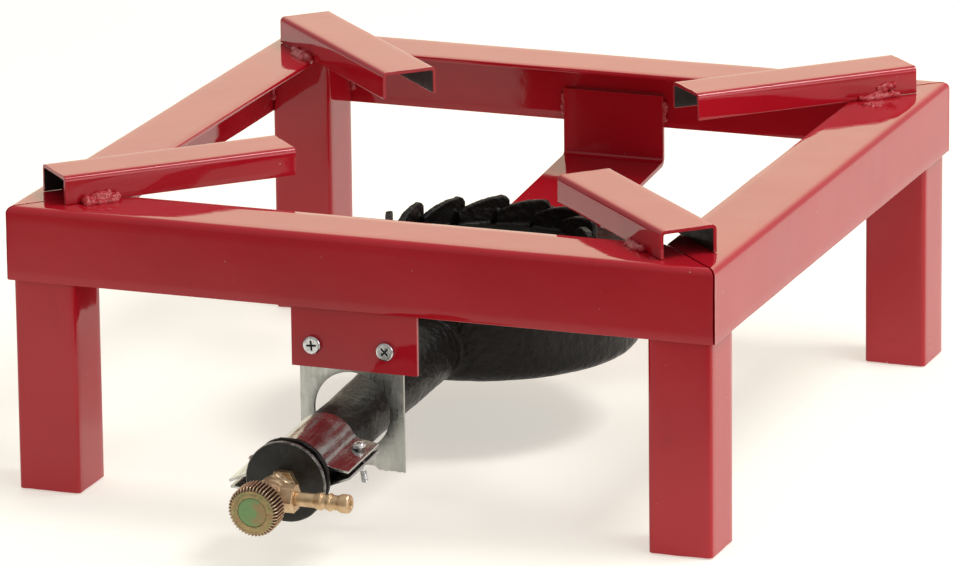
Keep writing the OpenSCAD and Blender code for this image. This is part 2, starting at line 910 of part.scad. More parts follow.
// The needle's cone rests in the edge of the narrow bore when the valve is shut
module valve_stem() {
    tip = 5;
    tip_r = 0.6;
    reach = tip * (2.3 - tip_r) / (stem_r - tip_r);
    start = barb_s - seat_back - reach;
    knob_end = knob_s + knob_grip - start;
    color([0.72, 0.53, 0.25]) placed()
        on_tube(start)
        difference() {
            union() {
                cylinder(r1 = tip_r, r2 = stem_r, h = tip);
                translate([0, 0, tip]) cylinder(r = stem_r, h = knob_end - tip);
            }
            translate([0, 0, knob_s - start]) cylinder(r = 1.5 + running, h = knob_grip + 1);
        }
}

// Knob: the cap sits in a recess in the front face, over the screw
module hand_knob() {
    rib_w = 0.8;
    rib_h = 0.7;
    rib_start = 1.4;
    body_r = knob_r - rib_h;
    face_r = knob_r - 2;
    color([0.55, 0.44, 0.2]) placed()
        on_tube(knob_s)
        difference() {
            union() {
                rotate_extrude()
                    polygon([[0, 0], [body_r - 1, 0], [body_r, 1], [body_r, knob_depth - 2],
                        [face_r, knob_depth], [0, knob_depth]]);
                for (k = [0:knob_ribs - 1])
                    rotate([0, 0, k * 360 / knob_ribs])
                        translate([body_r - 1, -rib_w / 2, rib_start])
                        cube([1 + rib_h, rib_w, knob_depth - 2 - 2 * rib_start + 1]);
            }
            translate([0, 0, -1]) cylinder(r = stem_r + running, h = knob_grip + 1.3);
            translate([0, 0, 9]) cylinder(r = 1.8, h = knob_depth);
            translate([0, 0, knob_depth - 3.5]) cylinder(r = 3.6, h = 4);
            translate([0, 0, knob_depth - cap_depth]) cylinder(r = cap_r + 0.1, h = 2);
        }
}

module knob_screw() {
    color([0.6, 0.6, 0.6]) placed()
        on_tube(knob_s + 3)
        union() {
            cylinder(r = 1.5, h = knob_depth - 6);
            translate([0, 0, knob_depth - 6.5]) cylinder(r = 3, h = 2);
        }
}

module knob_cap() {
    color([0.35, 0.5, 0.32]) placed()
        on_tube(knob_s + knob_depth - cap_depth)
        cylinder(r = cap_r, h = cap_thickness);
}

front_rail();
right_rail();
rear_rail();
left_rail();
frame_welds();
leg_front_left();
leg_front_right();
leg_rear_left();
leg_rear_right();
support_front_right();
support_rear_right();
support_rear_left();
support_front_left();
support_welds();
front_hanger();
rear_hanger();
hanger_welds();
tube_plate();
plate_screws();
plate_nuts();
burner_pan();
burner_crown();
crown_bolt();
crown_washer();
tongue_bolt();
tongue_nut();
clamp_saddle();
clamp_cradle();
clamp_screws();
clamp_nuts();
gas_injector();
valve_body();
packing_nut();
hose_barb();
shutter_lock_nut();
air_shutter();
valve_stem();
hand_knob();
knob_screw();
knob_cap();
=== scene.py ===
"""Looks for the square gas burner stand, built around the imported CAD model.

Everything is in metres, in the CAD model's own frame: floor at z = 0, valve towards -Y, hose barb towards +X.
"""

import json
import math
import random

import bmesh
import bpy
import numpy as np
from mathutils import Matrix, Vector


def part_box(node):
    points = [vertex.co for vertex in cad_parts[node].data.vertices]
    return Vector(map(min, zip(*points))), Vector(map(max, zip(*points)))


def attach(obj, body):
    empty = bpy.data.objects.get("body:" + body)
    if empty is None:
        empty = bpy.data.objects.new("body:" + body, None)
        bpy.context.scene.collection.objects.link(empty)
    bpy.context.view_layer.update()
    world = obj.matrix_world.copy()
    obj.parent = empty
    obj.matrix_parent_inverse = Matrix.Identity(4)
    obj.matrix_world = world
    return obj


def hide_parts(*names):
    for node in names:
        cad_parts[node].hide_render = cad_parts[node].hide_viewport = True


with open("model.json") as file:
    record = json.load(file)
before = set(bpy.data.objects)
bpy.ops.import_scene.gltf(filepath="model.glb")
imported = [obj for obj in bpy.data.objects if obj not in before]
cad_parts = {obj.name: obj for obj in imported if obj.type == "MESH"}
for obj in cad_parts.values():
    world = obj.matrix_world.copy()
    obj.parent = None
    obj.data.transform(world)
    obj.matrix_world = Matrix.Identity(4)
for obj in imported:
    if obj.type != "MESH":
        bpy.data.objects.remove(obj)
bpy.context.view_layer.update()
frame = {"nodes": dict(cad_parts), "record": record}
MM = 0.001


# ---------- measures taken from the CAD model
def corners(*names):
    """Lowest and highest corner over some CAD nodes, as numpy arrays."""
    boxes = [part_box(n) for n in names]
    low = np.min([np.array(b[0]) for b in boxes], axis=0)
    high = np.max([np.array(b[1]) for b in boxes], axis=0)
    return low, high


def mesh_points(mesh, what="co"):
    """Every vertex's place, or its "normal", as rows of x, y, z."""
    values = np.zeros(len(mesh.vertices) * 3)
    mesh.vertices.foreach_get(what, values)
    return values.reshape(-1, 3)


def cad_points(name):
    return mesh_points(frame["nodes"][name].data)


rails_low, rails_high = corners("front_rail", "rear_rail", "left_rail", "right_rail")
centre_y = (rails_low[1] + rails_high[1]) / 2
frame_top = rails_high[2]
joints = {j["name"]: j for j in frame["record"]["behaviour"]["joints"]}
tube_dir = Vector(joints["knob_turn"]["axis"]).normalized()
tube_up = tube_dir.cross(Vector((1, 0, 0)))
knob_back = Vector(joints["knob_turn"]["pos_m"])
clamp_tilt = math.radians(7)


def station(name):
    """First and last distance of a CAD node along the tube's axis, from the knob's back face."""
    d = (cad_points(name) - np.array(knob_back)) @ np.array(tube_dir)
    return float(d.min()), float(d.max())


def tube_matrix(s):
    """Frame on the tube's axis, s in front of the knob's back face: +Z forwards, +X right, +Y up."""
    m = Matrix((Vector((1, 0, 0)), tube_up, tube_dir)).transposed().to_4x4()
    m.translation = knob_back + tube_dir * s
    return m


def add_object(name, data):
    obj = bpy.data.objects.new(name, data)
    bpy.context.scene.collection.objects.link(obj)
    return obj


# ---------- camera
def add_camera():
    """The photograph's view: a long lens from the front right."""
    back = Vector((0.339149, -0.899797, 0.274484)).normalized()
    flat = Vector((-back.y, back.x, 0)).normalized()
    up = back.cross(flat)
    roll = math.radians(-0.66)
    right = flat * math.cos(roll) + up * math.sin(roll)
    true_up = up * math.cos(roll) - flat * math.sin(roll)
    data = bpy.data.cameras.new("camera")
    data.lens = 290.419
    data.sensor_width = 36
    data.sensor_fit = "HORIZONTAL"
    data.clip_end = 100
    camera = add_object("camera", data)
    turn = Matrix((right, true_up, back)).transposed().to_4x4()
    turn.translation = Vector((1.62316, centre_y - 4.32749, 1.40669))
    camera.matrix_world = turn
    bpy.context.scene.camera = camera


add_camera()


# ---------- seeded noise
class Lattice:
    """Smooth value noise on a repeating lattice, -1 to 1."""

    def __init__(self, seed, side=48):
        self.side = side
        self.values = np.random.RandomState(seed).uniform(-1, 1, (side, side, side))

    def __call__(self, p, size):
        q = np.asarray(p, float).reshape(-1, 3) / size + 1000.0
        cell = np.floor(q).astype(int)
        f = q - cell
        f = f * f * (3 - 2 * f)
        total = np.zeros(len(q))
        for corner in np.ndindex(2, 2, 2):
            weight = np.prod(np.where(corner, f, 1 - f), axis=1)
            total += weight * self.values[tuple(((cell + corner) % self.side).T)]
        return total


noise_a, noise_b = Lattice(11), Lattice(23)


# ---------- mesh helpers
def piece(name, mesh, material, body, replaces=(), sharp=40):
    """Links a mesh as a finished piece of the object."""
    mesh.name = name
    mesh.materials.clear()
    mesh.materials.append(material)
    mesh.shade_smooth()
    mesh.set_sharp_from_angle(angle=math.radians(sharp))
    obj = add_object(name, mesh)
    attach(obj, body)
    if replaces:
        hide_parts(*replaces)
    return obj


def tint(obj, materials, numbers):
    """Further materials, and each face's material number in turn."""
    for material in materials:
        obj.data.materials.append(material)
    for polygon, number in zip(obj.data.polygons, numbers):
        polygon.material_index = number


def mesh_of(verts, faces):
    """A closed mesh with its faces outwards."""
    mesh = bpy.data.meshes.new("mesh")
    mesh.from_pydata([tuple(v) for v in verts], [], faces)
    bm = bmesh.new()
    bm.from_mesh(mesh)
    bmesh.ops.recalc_face_normals(bm, faces=bm.faces)
    if bm.calc_volume(signed=True) < 0:
        bmesh.ops.reverse_faces(bm, faces=bm.faces)
    bm.to_mesh(mesh)
    bm.free()
    return mesh


def edge_round(obj, width, angle=38):
    """Rounds the object's edges that are sharper than an angle in degrees."""
    bevel = obj.modifiers.new("edge", "BEVEL")
    bevel.width = width
    bevel.segments = 2
    bevel.limit_method = "ANGLE"
    bevel.angle_limit = math.radians(angle)
    bevel.use_clamp_overlap = True
    bevel.harden_normals = True
    return obj


def cad_copy(name):
    """A CAD node's mesh as a bmesh, with its split vertices merged."""
    bm = bmesh.new()
    bm.from_mesh(frame["nodes"][name].data)
    bmesh.ops.remove_doubles(bm, verts=bm.verts, dist=2e-6)
    return bm


def to_mesh(bm, name="mesh"):
    """A bmesh as a mesh. The bmesh is freed."""
    mesh = bpy.data.meshes.new(name)
    bm.to_mesh(mesh)
    bm.free()
    return mesh


def joined(meshes, name):
    """Some meshes as one."""
    bm = bmesh.new()
    for mesh in meshes:
        bm.from_mesh(mesh)
    return to_mesh(bm, name)


def machined(name, node, material, body, width):
    """A CAD node's shape with flat faces joined up and small rounded edges."""
    bm = cad_copy(node)
    bmesh.ops.dissolve_limit(bm, angle_limit=math.radians(0.5), verts=bm.verts, edges=bm.edges)
    mesh = to_mesh(bm, name)
    if "custom_normal" in mesh.attributes:
        mesh.attributes.remove(mesh.attributes["custom_normal"])
    obj = piece(name, mesh, material, body, (node,), sharp=35)
    return edge_round(obj, width)


def evaluated(obj):
    """The mesh that an object makes, in place of the object."""
    graph = bpy.context.evaluated_depsgraph_get()
    mesh = bpy.data.meshes.new_from_object(obj.evaluated_get(graph))
    bpy.data.objects.remove(obj)
    return mesh


def remesh(bm, size):
    """Voxel remesh of a closed bmesh."""
    mesh = to_mesh(bm)
    obj = add_object("solid", mesh)
    modifier = obj.modifiers.new("remesh", "REMESH")
    modifier.mode = "VOXEL"
    modifier.voxel_size = size
    out = evaluated(obj)
    bpy.data.meshes.remove(mesh)
    return out


def set_points(mesh, co):
    mesh.vertices.foreach_set("co", co.ravel())
    mesh.update()


def relax(mesh, rounds):
    """Taubin smoothing: rounds edges and keeps the size."""
    co = mesh_points(mesh)
    e = np.zeros(len(mesh.edges) * 2, np.int32)
    mesh.edges.foreach_get("vertices", e)
    a, b = e[0::2], e[1::2]
    count = np.bincount(np.concatenate([a, b]), minlength=len(co))[:, None]
    for k in range(2 * rounds):
        mean = np.stack([np.bincount(a, co[b, i], len(co)) + np.bincount(b, co[a, i], len(co))
                         for i in range(3)], 1) / count
        co = co + (0.55 if k % 2 == 0 else -0.57) * (mean - co)
    set_points(mesh, co)


def roughen(mesh, lattice, layers, inward=0.0):
    """Moves the points along their normals by layers of noise: (size, depth) pairs in metres."""
    co, normal = mesh_points(mesh), mesh_points(mesh, "normal")
    amount = -inward * np.ones(len(co))
    for size, depth in layers:
        amount += depth * lattice(co, size)
    set_points(mesh, co + normal * amount[:, None])


# ---------- swept sections
def arc(cx, cy, r, start, end, steps):
    """Points on an arc round (cx, cy), from start to end in degrees."""
    return [(cx + r * math.cos(math.radians(start + (end - start) * i / steps)),
             cy + r * math.sin(math.radians(start + (end - start) * i / steps))) for i in range(steps + 1)]


def subdivide(a, b, n):
    """Points from a to b in n even steps."""
    return [(a[0] + (b[0] - a[0]) * i / n, a[1] + (b[1] - a[1]) * i / n) for i in range(n + 1)]


def closed_section(bends, step):
    """A closed outline through some arcs, with no stretch longer than step."""
    points = [point for bend in bends for point in arc(*bend)]
    out = []
    for p, q in zip(points, points[1:] + points[:1]):
        out += subdivide(p, q, max(1, math.ceil(math.dist(p, q) / step)))[:-1]
    return out


def bridge(n, first, second):
    """Faces between two rings of n points, from the numbers of their first points."""
    return [(first + i, first + (i + 1) % n, second + (i + 1) % n, second + i) for i in range(n)]


def tube_faces(n, rows, first=0):
    """Faces of a row of rings of n points."""
    return [face for j in range(rows - 1) for face in bridge(n, first + j * n, first + (j + 1) * n)]


def rod_faces(n, rows):
    """The same with flat caps, the first ring's before the last ring's."""
    last = (rows - 1) * n
    return tube_faces(n, rows) + [tuple(range(n)), tuple(last + i for i in reversed(range(n)))]


def sweep(section, stations, place):
    """Verts and faces of a closed section carried through stations 0 to 1."""
    verts = [place(u, v, t) for t in stations for u, v in section]
    return verts, rod_faces(len(section), len(stations))


def even(n, length):
    """Stations from 0 to 1, with one near each end that leaves room for the saw cut."""
    near = 1.4 * MM / length
    return [0, near] + [i / n for i in range(1, n)] + [1 - near, 1]


def saw(u, v, seed):
    """How far a sawn end falls short at a point of the section."""
    p = np.array([[u, v, seed * 0.37]])
    return float(0.18 * MM * (1 + noise_a(p, 2.2 * MM)[0]) + 0.12 * MM * (1 + noise_b(p, 9 * MM)[0]))


def rail_section(height, width, t, r):
    """Angle section: u inwards from the outer face, v up from the floor."""
    top, inner, e = frame_top, r - t, 0.7 * MM
    bends = [
        (e, top - height + e, e, 270, 180, 3),
        (r, top - r, r, 180, 90, 9),
        (width - e, top - e, e, 90, 0, 3),
        (width - e, top - t + e, e, 0, -90, 3),
        (t + inner, top - t - inner, inner, 90, 180, 5),
        (t - e, top - height + e, e, 0, -90, 3),
    ]
    return closed_section(bends, 6 * MM)


def channel_section(width, height, t, r, bottom):
    """Upturned channel: u across, v up."""
    top, half, inner, e = bottom + height, width / 2, r - t, 0.6 * MM
    bends = [
        (-half + e, bottom + e, e, 270, 180, 3),
        (-half + r, top - r, r, 180, 90, 7),
        (half - r, top - r, r, 90, 0, 7),
        (half - e, bottom + e, e, 0, -90, 3),
        (half - t + e, bottom + e, e, 270, 180, 3),
        (half - t - inner, top - t - inner, inner, 0, 90, 4),
        (-half + t + inner, top - t - inner, inner, 90, 180, 4),
        (-half + t - e, bottom + e, e, 0, -90, 3),
    ]
    return closed_section(bends, 4 * MM)


def wavy(mesh, depth=0.12 * MM):
    """Slight unevenness of rolled and painted steel, inwards only."""
    roughen(mesh, noise_b, [(45 * MM, depth), (14 * MM, depth * 0.25)], inward=depth * 1.3)


# ---------- materials
class Nodes:
    """Short calls that add nodes to a tree and link them."""

    def __init__(self, tree):
        self.tree = tree

    def put(self, socket, value):
        if isinstance(value, bpy.types.NodeSocket):
            self.tree.links.new(value, socket)
        else:
            socket.default_value = value

    def node(self, kind, inputs, **settings):
        node = self.tree.nodes.new(kind)
        for key, value in settings.items():
            setattr(node, key, value)
        for key, value in inputs.items():
            self.put(node.inputs[key], value)
        return node

    def span(self, value, low, high, to_low=0.0, to_high=1.0, shape="LINEAR"):
        inputs = {"Value": value, "From Min": low, "From Max": high, "To Min": to_low, "To Max": to_high}
        return self.node("ShaderNodeMapRange", inputs, interpolation_type=shape).outputs[0]

    def math(self, kind, a, b):
        return self.node("ShaderNodeMath", {0: a, 1: b}, operation=kind).outputs[0]

    def mix(self, amount, a, b):
        return self.node("ShaderNodeMix", {0: amount, 6: a, 7: b}, data_type="RGBA").outputs[2]


class Look(Nodes):
    """A material made of noise. Every size and depth is in metres."""

    def __init__(self, name):
        self.material = bpy.data.materials.new(name)
        self.material.use_nodes = True
        super().__init__(self.material.node_tree)
        self.shader = self.tree.nodes["Principled BSDF"]
        self.coords = self.node("ShaderNodeTexCoord", {}).outputs["Object"]

    def noise(self, size, detail, rough=0.55, warp=0.0, coords=None):
        """Noise whose blobs are about size metres."""
        inputs = {"Vector": coords or self.coords, "Scale": 1 / size, "Detail": detail,
                  "Roughness": rough, "Distortion": warp}
        return self.node("ShaderNodeTexNoise", inputs).outputs["Fac"]

    def cells(self, size, feature="F1", output="Distance"):
        inputs = {"Vector": self.coords, "Scale": 1 / size}
        return self.node("ShaderNodeTexVoronoi", inputs, feature=feature).outputs[output]

    def bump(self, height, depth, under=None):
        inputs = {"Height": height, "Distance": depth, "Strength": 1.0}
        if under is not None:
            inputs["Normal"] = under
        return self.node("ShaderNodeBump", inputs).outputs[0]

    def grain(self, size, detail, depth, rough=0.55, under=None):
        """Bumps made of noise."""
        return self.bump(self.noise(size, detail, rough), depth, under)

    def gloss(self, size, detail, low, high, rough=0.55):
        """A roughness that wanders between two values."""
        return self.span(self.noise(size, detail, rough), 0.3, 0.7, low, high)

    def patches(self, size, detail, rough, edges, first, second, warp=0.0):
        """Two colours in patches."""
        amount = self.span(self.noise(size, detail, rough, warp), *edges)
        return self.mix(amount, rgb(*first), rgb(*second))

    def spots(self, colour, size, detail, rough, edges, share, tint, warp=0.0):
        """The colour with spots of a tint, which take at most a share of it."""
        amount = self.span(self.noise(size, detail, rough, warp), *edges, 0, share)
        return self.mix(amount, colour, rgb(*tint))

    def finish(self, **inputs):
        for key, value in inputs.items():
            self.put(self.shader.inputs[key.replace("_", " ")], value)
        return self.material

    def metal(self, share, colour, rough, normal):
        return self.finish(Base_Color=colour, Metallic=share, Roughness=rough, Normal=normal)

    def dull(self, shine, colour, rough, normal):
        return self.finish(Base_Color=colour, Roughness=rough, Specular_IOR_Level=shine, Normal=normal)


def rgb(r, g, b):
    return (r, g, b, 1.0)


def paint_look(name, crinkle=0.0, ior=1.45):
    look = Look(name)
    colour = look.patches(0.12, 2, 0.55, (0.35, 0.65), (0.365, 0.0062, 0.0140), (0.405, 0.0085, 0.0175))
    colour = look.spots(colour, 0.02, 4, 0.6, (0.62, 0.8), 0.35, (0.28, 0.006, 0.010))
    dust = look.math("LESS_THAN", look.cells(0.011), 0.045)
    spread = look.math("MULTIPLY", dust, look.span(look.noise(0.06, 1), 0.45, 0.7))
    colour = look.mix(spread, colour, rgb(0.52, 0.24, 0.19))
    chip = look.math("GREATER_THAN", look.noise(0.0045, 3, 0.7), 0.80)
    colour = look.mix(chip, colour, rgb(0.10, 0.010, 0.010))
    peel = look.grain(0.0022, 2, 0.000010)
    if crinkle:
        peel = look.grain(0.0014, 4, crinkle, 0.6, peel)
    sag = look.grain(0.03, 2, 0.00016, under=peel)
    nib = look.bump(dust, 0.00008, sag)
    return look.finish(Base_Color=colour, Roughness=look.gloss(0.015, 3, 0.42, 0.55),
                       Specular_IOR_Level=0.0, Coat_Weight=1.0, Coat_Roughness=0.05, Coat_IOR=ior,
                       Normal=nib, Coat_Normal=nib)


# a near-black material with reddish spots for the channels' inner faces
def channel_inside_look():
    look = Look("near_black_channel_inside")
    colour = look.patches(0.008, 4, 0.65, (0.35, 0.7), (0.011, 0.0095, 0.0085), (0.030, 0.022, 0.018))
    colour = look.spots(colour, 0.014, 4, 0.6, (0.56, 0.78), 0.45, (0.14, 0.006, 0.008))
    return look.dull(0.3, colour, look.gloss(0.005, 3, 0.38, 0.6), look.grain(0.0012, 4, 0.00012, 0.6))


def iron_look():
    look = Look("black_cast_iron")
    colour = look.patches(0.03, 4, 0.6, (0.35, 0.7), (0.0050, 0.0043, 0.0036), (0.0125, 0.0108, 0.0088))
    colour = look.spots(colour, 0.006, 4, 0.7, (0.62, 0.78), 0.5, (0.036, 0.027, 0.020))
    lumps = look.grain(0.0048, 3, 0.0012, 0.6)
    pits = look.bump(look.cells(0.0042, "SMOOTH_F1"), 0.0005, lumps)
    normal = look.grain(0.0011, 3, 0.00018, 0.65, pits)
    return look.dull(0.19, colour, look.gloss(0.009, 4, 0.24, 0.46, 0.6), normal)


def zinc_look(name, streak, tint, rough_middle):
    """Zinc plate with streaks drawn out by a stretch of (x, y, z)."""
    look = Look(name)
    drawn = look.node("ShaderNodeMapping", {"Vector": look.coords, "Scale": streak}).outputs[0]
    streaks = look.noise(0.0016, 4, 0.65, coords=drawn)
    broad = look.noise(0.011, 3, 0.6, 0.6, coords=drawn)
    spangle = look.node("ShaderNodeRGBToBW", {0: look.cells(0.009, output="Color")}).outputs[0]
    dull, light = rgb(*(c * 0.62 for c in tint)), rgb(*(min(1, c * 1.25) for c in tint))
    colour = look.mix(look.span(broad, 0.35, 0.7), rgb(*tint), dull)
    colour = look.mix(look.span(spangle, 0.2, 0.8, 0.0, 0.3), colour, light)
    colour = look.spots(colour, 0.018, 5, 0.65, (0.56, 0.72), 0.55, (0.27, 0.26, 0.22))
    rough = look.math("ADD", look.span(streaks, 0.3, 0.7, rough_middle - 0.07, rough_middle + 0.10),
                      look.span(spangle, 0.0, 1.0, 0.0, 0.10))
    normal = look.grain(0.008, 3, 0.00022, under=look.bump(streaks, 0.00006))
    return look.metal(1.0, colour, rough, normal)


def screw_look():
    look = Look("bright_zinc_screws")
    colour = look.patches(0.002, 4, 0.6, (0.4, 0.7), (0.70, 0.71, 0.72), (0.42, 0.42, 0.41))
    return look.metal(1.0, colour, look.gloss(0.0012, 3, 0.12, 0.28), look.grain(0.0006, 3, 0.00003))


# painted shade: a near-black material for the screws' cross recesses
def recess_shade_look():
    look = Look("painted_shade_in_recess")
    colour = look.patches(0.0012, 4, 0.65, (0.35, 0.7), (0.014, 0.013, 0.011), (0.060, 0.055, 0.048))
    return look.dull(0.3, colour, look.gloss(0.0012, 4, 0.5, 0.8, 0.65), look.grain(0.0008, 3, 0.00008))


def steel_look():
    look = Look("dull_bolt_steel")
    colour = look.patches(0.003, 4, 0.65, (0.35, 0.7), (0.16, 0.155, 0.15), (0.09, 0.07, 0.055))
    return look.metal(1.0, colour, look.gloss(0.0015, 3, 0.35, 0.6), look.grain(0.0009, 4, 0.00008))


def brass_look(name, fresh, rough_middle):
    look = Look(name)
    dulled = (fresh[0] * 0.72, fresh[1] * 0.64, fresh[2] * 0.55)
    colour = look.patches(0.006, 4, 0.6, (0.35, 0.72), fresh, dulled)
    colour = look.spots(colour, 0.0014, 4, 0.7, (0.6, 0.78), 0.6, (0.32, 0.21, 0.12))
    rough = look.gloss(0.0028, 4, rough_middle - 0.06, rough_middle + 0.14, 0.6)
    normal = look.grain(0.0035, 3, 0.00014, under=look.grain(0.0005, 3, 0.00002, 0.6))
    return look.metal(1.0, colour, rough, normal)


def shutter_look():
    look = Look("black_satin_shutter")
    colour = look.patches(0.012, 4, 0.6, (0.35, 0.7), (0.0075, 0.0073, 0.0066), (0.022, 0.021, 0.019))
    colour = look.spots(colour, 0.0035, 5, 0.7, (0.60, 0.78), 0.55, (0.062, 0.058, 0.050))
    normal = look.grain(0.006, 3, 0.0003, under=look.grain(0.0009, 3, 0.00010, 0.6))
    return look.dull(0.33, colour, look.gloss(0.006, 4, 0.24, 0.5, 0.6), normal)


def worn_edge_and_highlight_look():
    # lighter bare metal in patches: partly wear, partly a painted highlight on the disc's rim
    look = Look("worn_and_painted_highlight_shutter_edge")
    wear_and_highlight = look.span(look.noise(0.004, 4, 0.65), 0.42, 0.62)
    colour = look.mix(wear_and_highlight, rgb(0.020, 0.019, 0.018), rgb(0.26, 0.25, 0.23))
    return look.metal(look.math("MULTIPLY", wear_and_highlight, 0.9), colour, look.gloss(0.0015, 3, 0.22, 0.4),
                      look.grain(0.0008, 3, 0.00006))


def knob_look():
    look = Look("yellow_passivated_knob")
    colour = look.patches(0.0048, 4, 0.68, (0.38, 0.60), (0.43, 0.31, 0.15), (0.27, 0.27, 0.12), 0.9)
    colour = look.spots(colour, 0.0036, 4, 0.65, (0.47, 0.62), 0.8, (0.37, 0.20, 0.12), 1.0)
    colour = look.spots(colour, 0.0011, 4, 0.75, (0.50, 0.68), 0.75, (0.13, 0.085, 0.045))
    normal = look.grain(0.0030, 3, 0.00016, under=look.grain(0.0007, 3, 0.00008))
    return look.metal(0.8, colour, look.gloss(0.002, 3, 0.32, 0.55), normal)


def rib_look(name, first, second, gold_share):
    look = Look(name)
    colour = look.patches(0.005, 4, 0.6, (0.3, 0.7), first, second, 0.8)
    colour = look.spots(colour, 0.0035, 3, 0.6, (0.5, 0.68), gold_share, (0.42, 0.30, 0.16))
    return look.metal(0.85, colour, look.gloss(0.002, 3, 0.26, 0.45), look.grain(0.0007, 3, 0.00005))


def cap_look():
    """Green on one side of the knob's axis and brown on the other, with a ragged border."""
    look = Look("green_passivated_cap")
    slope = 26.0
    across = look.node("ShaderNodeSeparateXYZ", {0: look.coords}).outputs[0]
    lean = look.math("ADD", look.noise(0.0045, 4, 0.6, 0.6), look.math("MULTIPLY", across, slope))
    centre = float(knob_back.x) * slope
    side = look.span(lean, centre + 0.50, centre + 0.66)
    colour = look.mix(side, rgb(0.17, 0.29, 0.12), rgb(0.31, 0.21, 0.10))
    colour = look.spots(colour, 0.0012, 4, 0.7, (0.55, 0.72), 0.5, (0.27, 0.36, 0.19))
    return look.metal(0.5, colour, look.gloss(0.0018, 3, 0.34, 0.55), look.grain(0.0008, 4, 0.00009))


paint = paint_look("red_gloss_paint")
weld_paint = paint_look("red_paint_on_welds", 0.0007, 1.6)
channel_inside = channel_inside_look()
iron = iron_look()
zinc = zinc_look("zinc_plate", (1, 1, 0.12), (0.50, 0.505, 0.475), 0.26)
clamp_zinc = zinc_look("zinc_clamp", (1, 0.1, 1), (0.50, 0.49, 0.47), 0.17)
bright = screw_look()
recess_shade = recess_shade_look()
steel = steel_look()
brass = brass_look("turned_brass", (0.68, 0.50, 0.31), 0.38)
forged = brass_look("forged_brass", (0.68, 0.51, 0.33), 0.40)
satin = shutter_look()
worn_edge_and_highlight = worn_edge_and_highlight_look()
gold = knob_look()
# knurl materials: the lighter tips are a painted highlight, the darker sides and near-black gaps are painted
# shade
rib_tip_highlight = rib_look("knurl_tips_painted_highlight", (0.56, 0.43, 0.29), (0.46, 0.31, 0.20), 0.8)
rib_side_shade = rib_look("knurl_sides_painted_shade", (0.24, 0.12, 0.075), (0.15, 0.08, 0.05), 0.5)
rib_gap_shade = rib_look("knurl_gaps_painted_shade", (0.050, 0.026, 0.018), (0.030, 0.018, 0.012), 0.1)
green = cap_look()


# ---------- frame
def build_rails():
    """Four mitred angles. Each end is sawn a little short, so that the joints stay open."""
    low, high = corners("front_rail")
    height = high[2] - low[2]
    width = high[1] - low[1]
    # wall and bend radius as the CAD section has them
    section = rail_section(height, width, 3 * MM, 4.5 * MM)
    half_x, half_y = float(high[0]), float(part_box("right_rail")[1].y - centre_y)
    wx, wy = float(rails_high[0]), float(rails_high[1] - centre_y)
    # length of half a rail, and its way from (along, inwards) to x and y
    sides = {"front": (half_x, lambda x, u: (x, centre_y - wy + u)),
             "right": (half_y, lambda x, u: (wx - u, centre_y + x)),
             "rear": (half_x, lambda x, u: (-x, centre_y + wy - u)),
             "left": (half_y, lambda x, u: (-wx + u, centre_y - x))}
    for number, (side, (half, turn)) in enumerate(sides.items(), 1):
        def at(u, v, s):
            cut = saw(u, v, number + (10 if s > 0.5 else 0)) if s in (0, 1) else 0
            return (*turn((2 * s - 1) * (half - u - cut), u), v)

        mesh = mesh_of(*sweep(section, even(90, 2 * wx), at))
        wavy(mesh)
        obj = piece(f"{side}_rail_steel", mesh, paint, "stand", (f"{side}_rail",))
        edge_round(obj, 0.35 * MM, 50)


def build_supports():
    """The four channels. Returns where each one lies, for its welds."""
    t, r = 2.5 * MM, 3.5 * MM
    spots = {"front_right": -45, "rear_right": 45, "rear_left": 135, "front_left": 225}
    lines = {}
    for i, (name, angle) in enumerate(spots.items()):
        a = math.radians(angle)
        out, side = np.array([math.cos(a), math.sin(a)]), np.array([-math.sin(a), math.cos(a)])
        points = cad_points(f"support_{name}")
        flat = points[:, :2] - (0, centre_y)
        along, across = flat @ out, flat @ side
        bottom, top = points[:, 2].min(), points[:, 2].max()
        start, end = along.min(), along.max()
        middle, width = (across.min() + across.max()) / 2, across.max() - across.min()
        section = channel_section(width, top - bottom, t, r, bottom)

        def at(u, v, s):
            cut = saw(u, v, 20 + i + (10 if s > 0.5 else 0)) * 1.6
            d = start + (end - start) * s
            if s in (0, 1):
                d += cut if s == 0 else -cut
            x, y = d * out + (u + middle) * side
            return (x, y + centre_y, v)

        mesh = mesh_of(*sweep(section, even(50, end - start), at))
        wavy(mesh, 0.10 * MM)
        obj = piece(f"support_{name}_steel", mesh, paint, "stand", (f"support_{name}",))
        # the channel's inner faces get a near-black material with reddish spots, its two end faces are
        # painted red
        inside = [abs(u) < width / 2 - t + 0.01 * MM and v < top - t + 0.01 * MM for u, v in section]
        dark_inside = [int(a and b) for a, b in zip(inside, inside[1:] + inside[:1])]
        tint(obj, [channel_inside], dark_inside * (len(mesh.polygons) // len(dark_inside)))
        edge_round(obj, 0.3 * MM, 50)
        lines[name] = (out, side, middle, width, bottom)
    return lines


def rounded_square(half, radius):
    """A square outline with rounded corners, each straight side in seven even parts."""
    c = half - radius
    bends = [arc(sx * c, sy * c, radius, 90 * k, 90 * k + 90, 6)
             for k, (sx, sy) in enumerate(((1, 1), (-1, 1), (-1, -1), (1, -1)))]
    points = []
    for bend, following in zip(bends, bends[1:] + bends[:1]):
        points += bend[:-1] + subdivide(bend[-1], following[0], 7)[:-1]
    return points


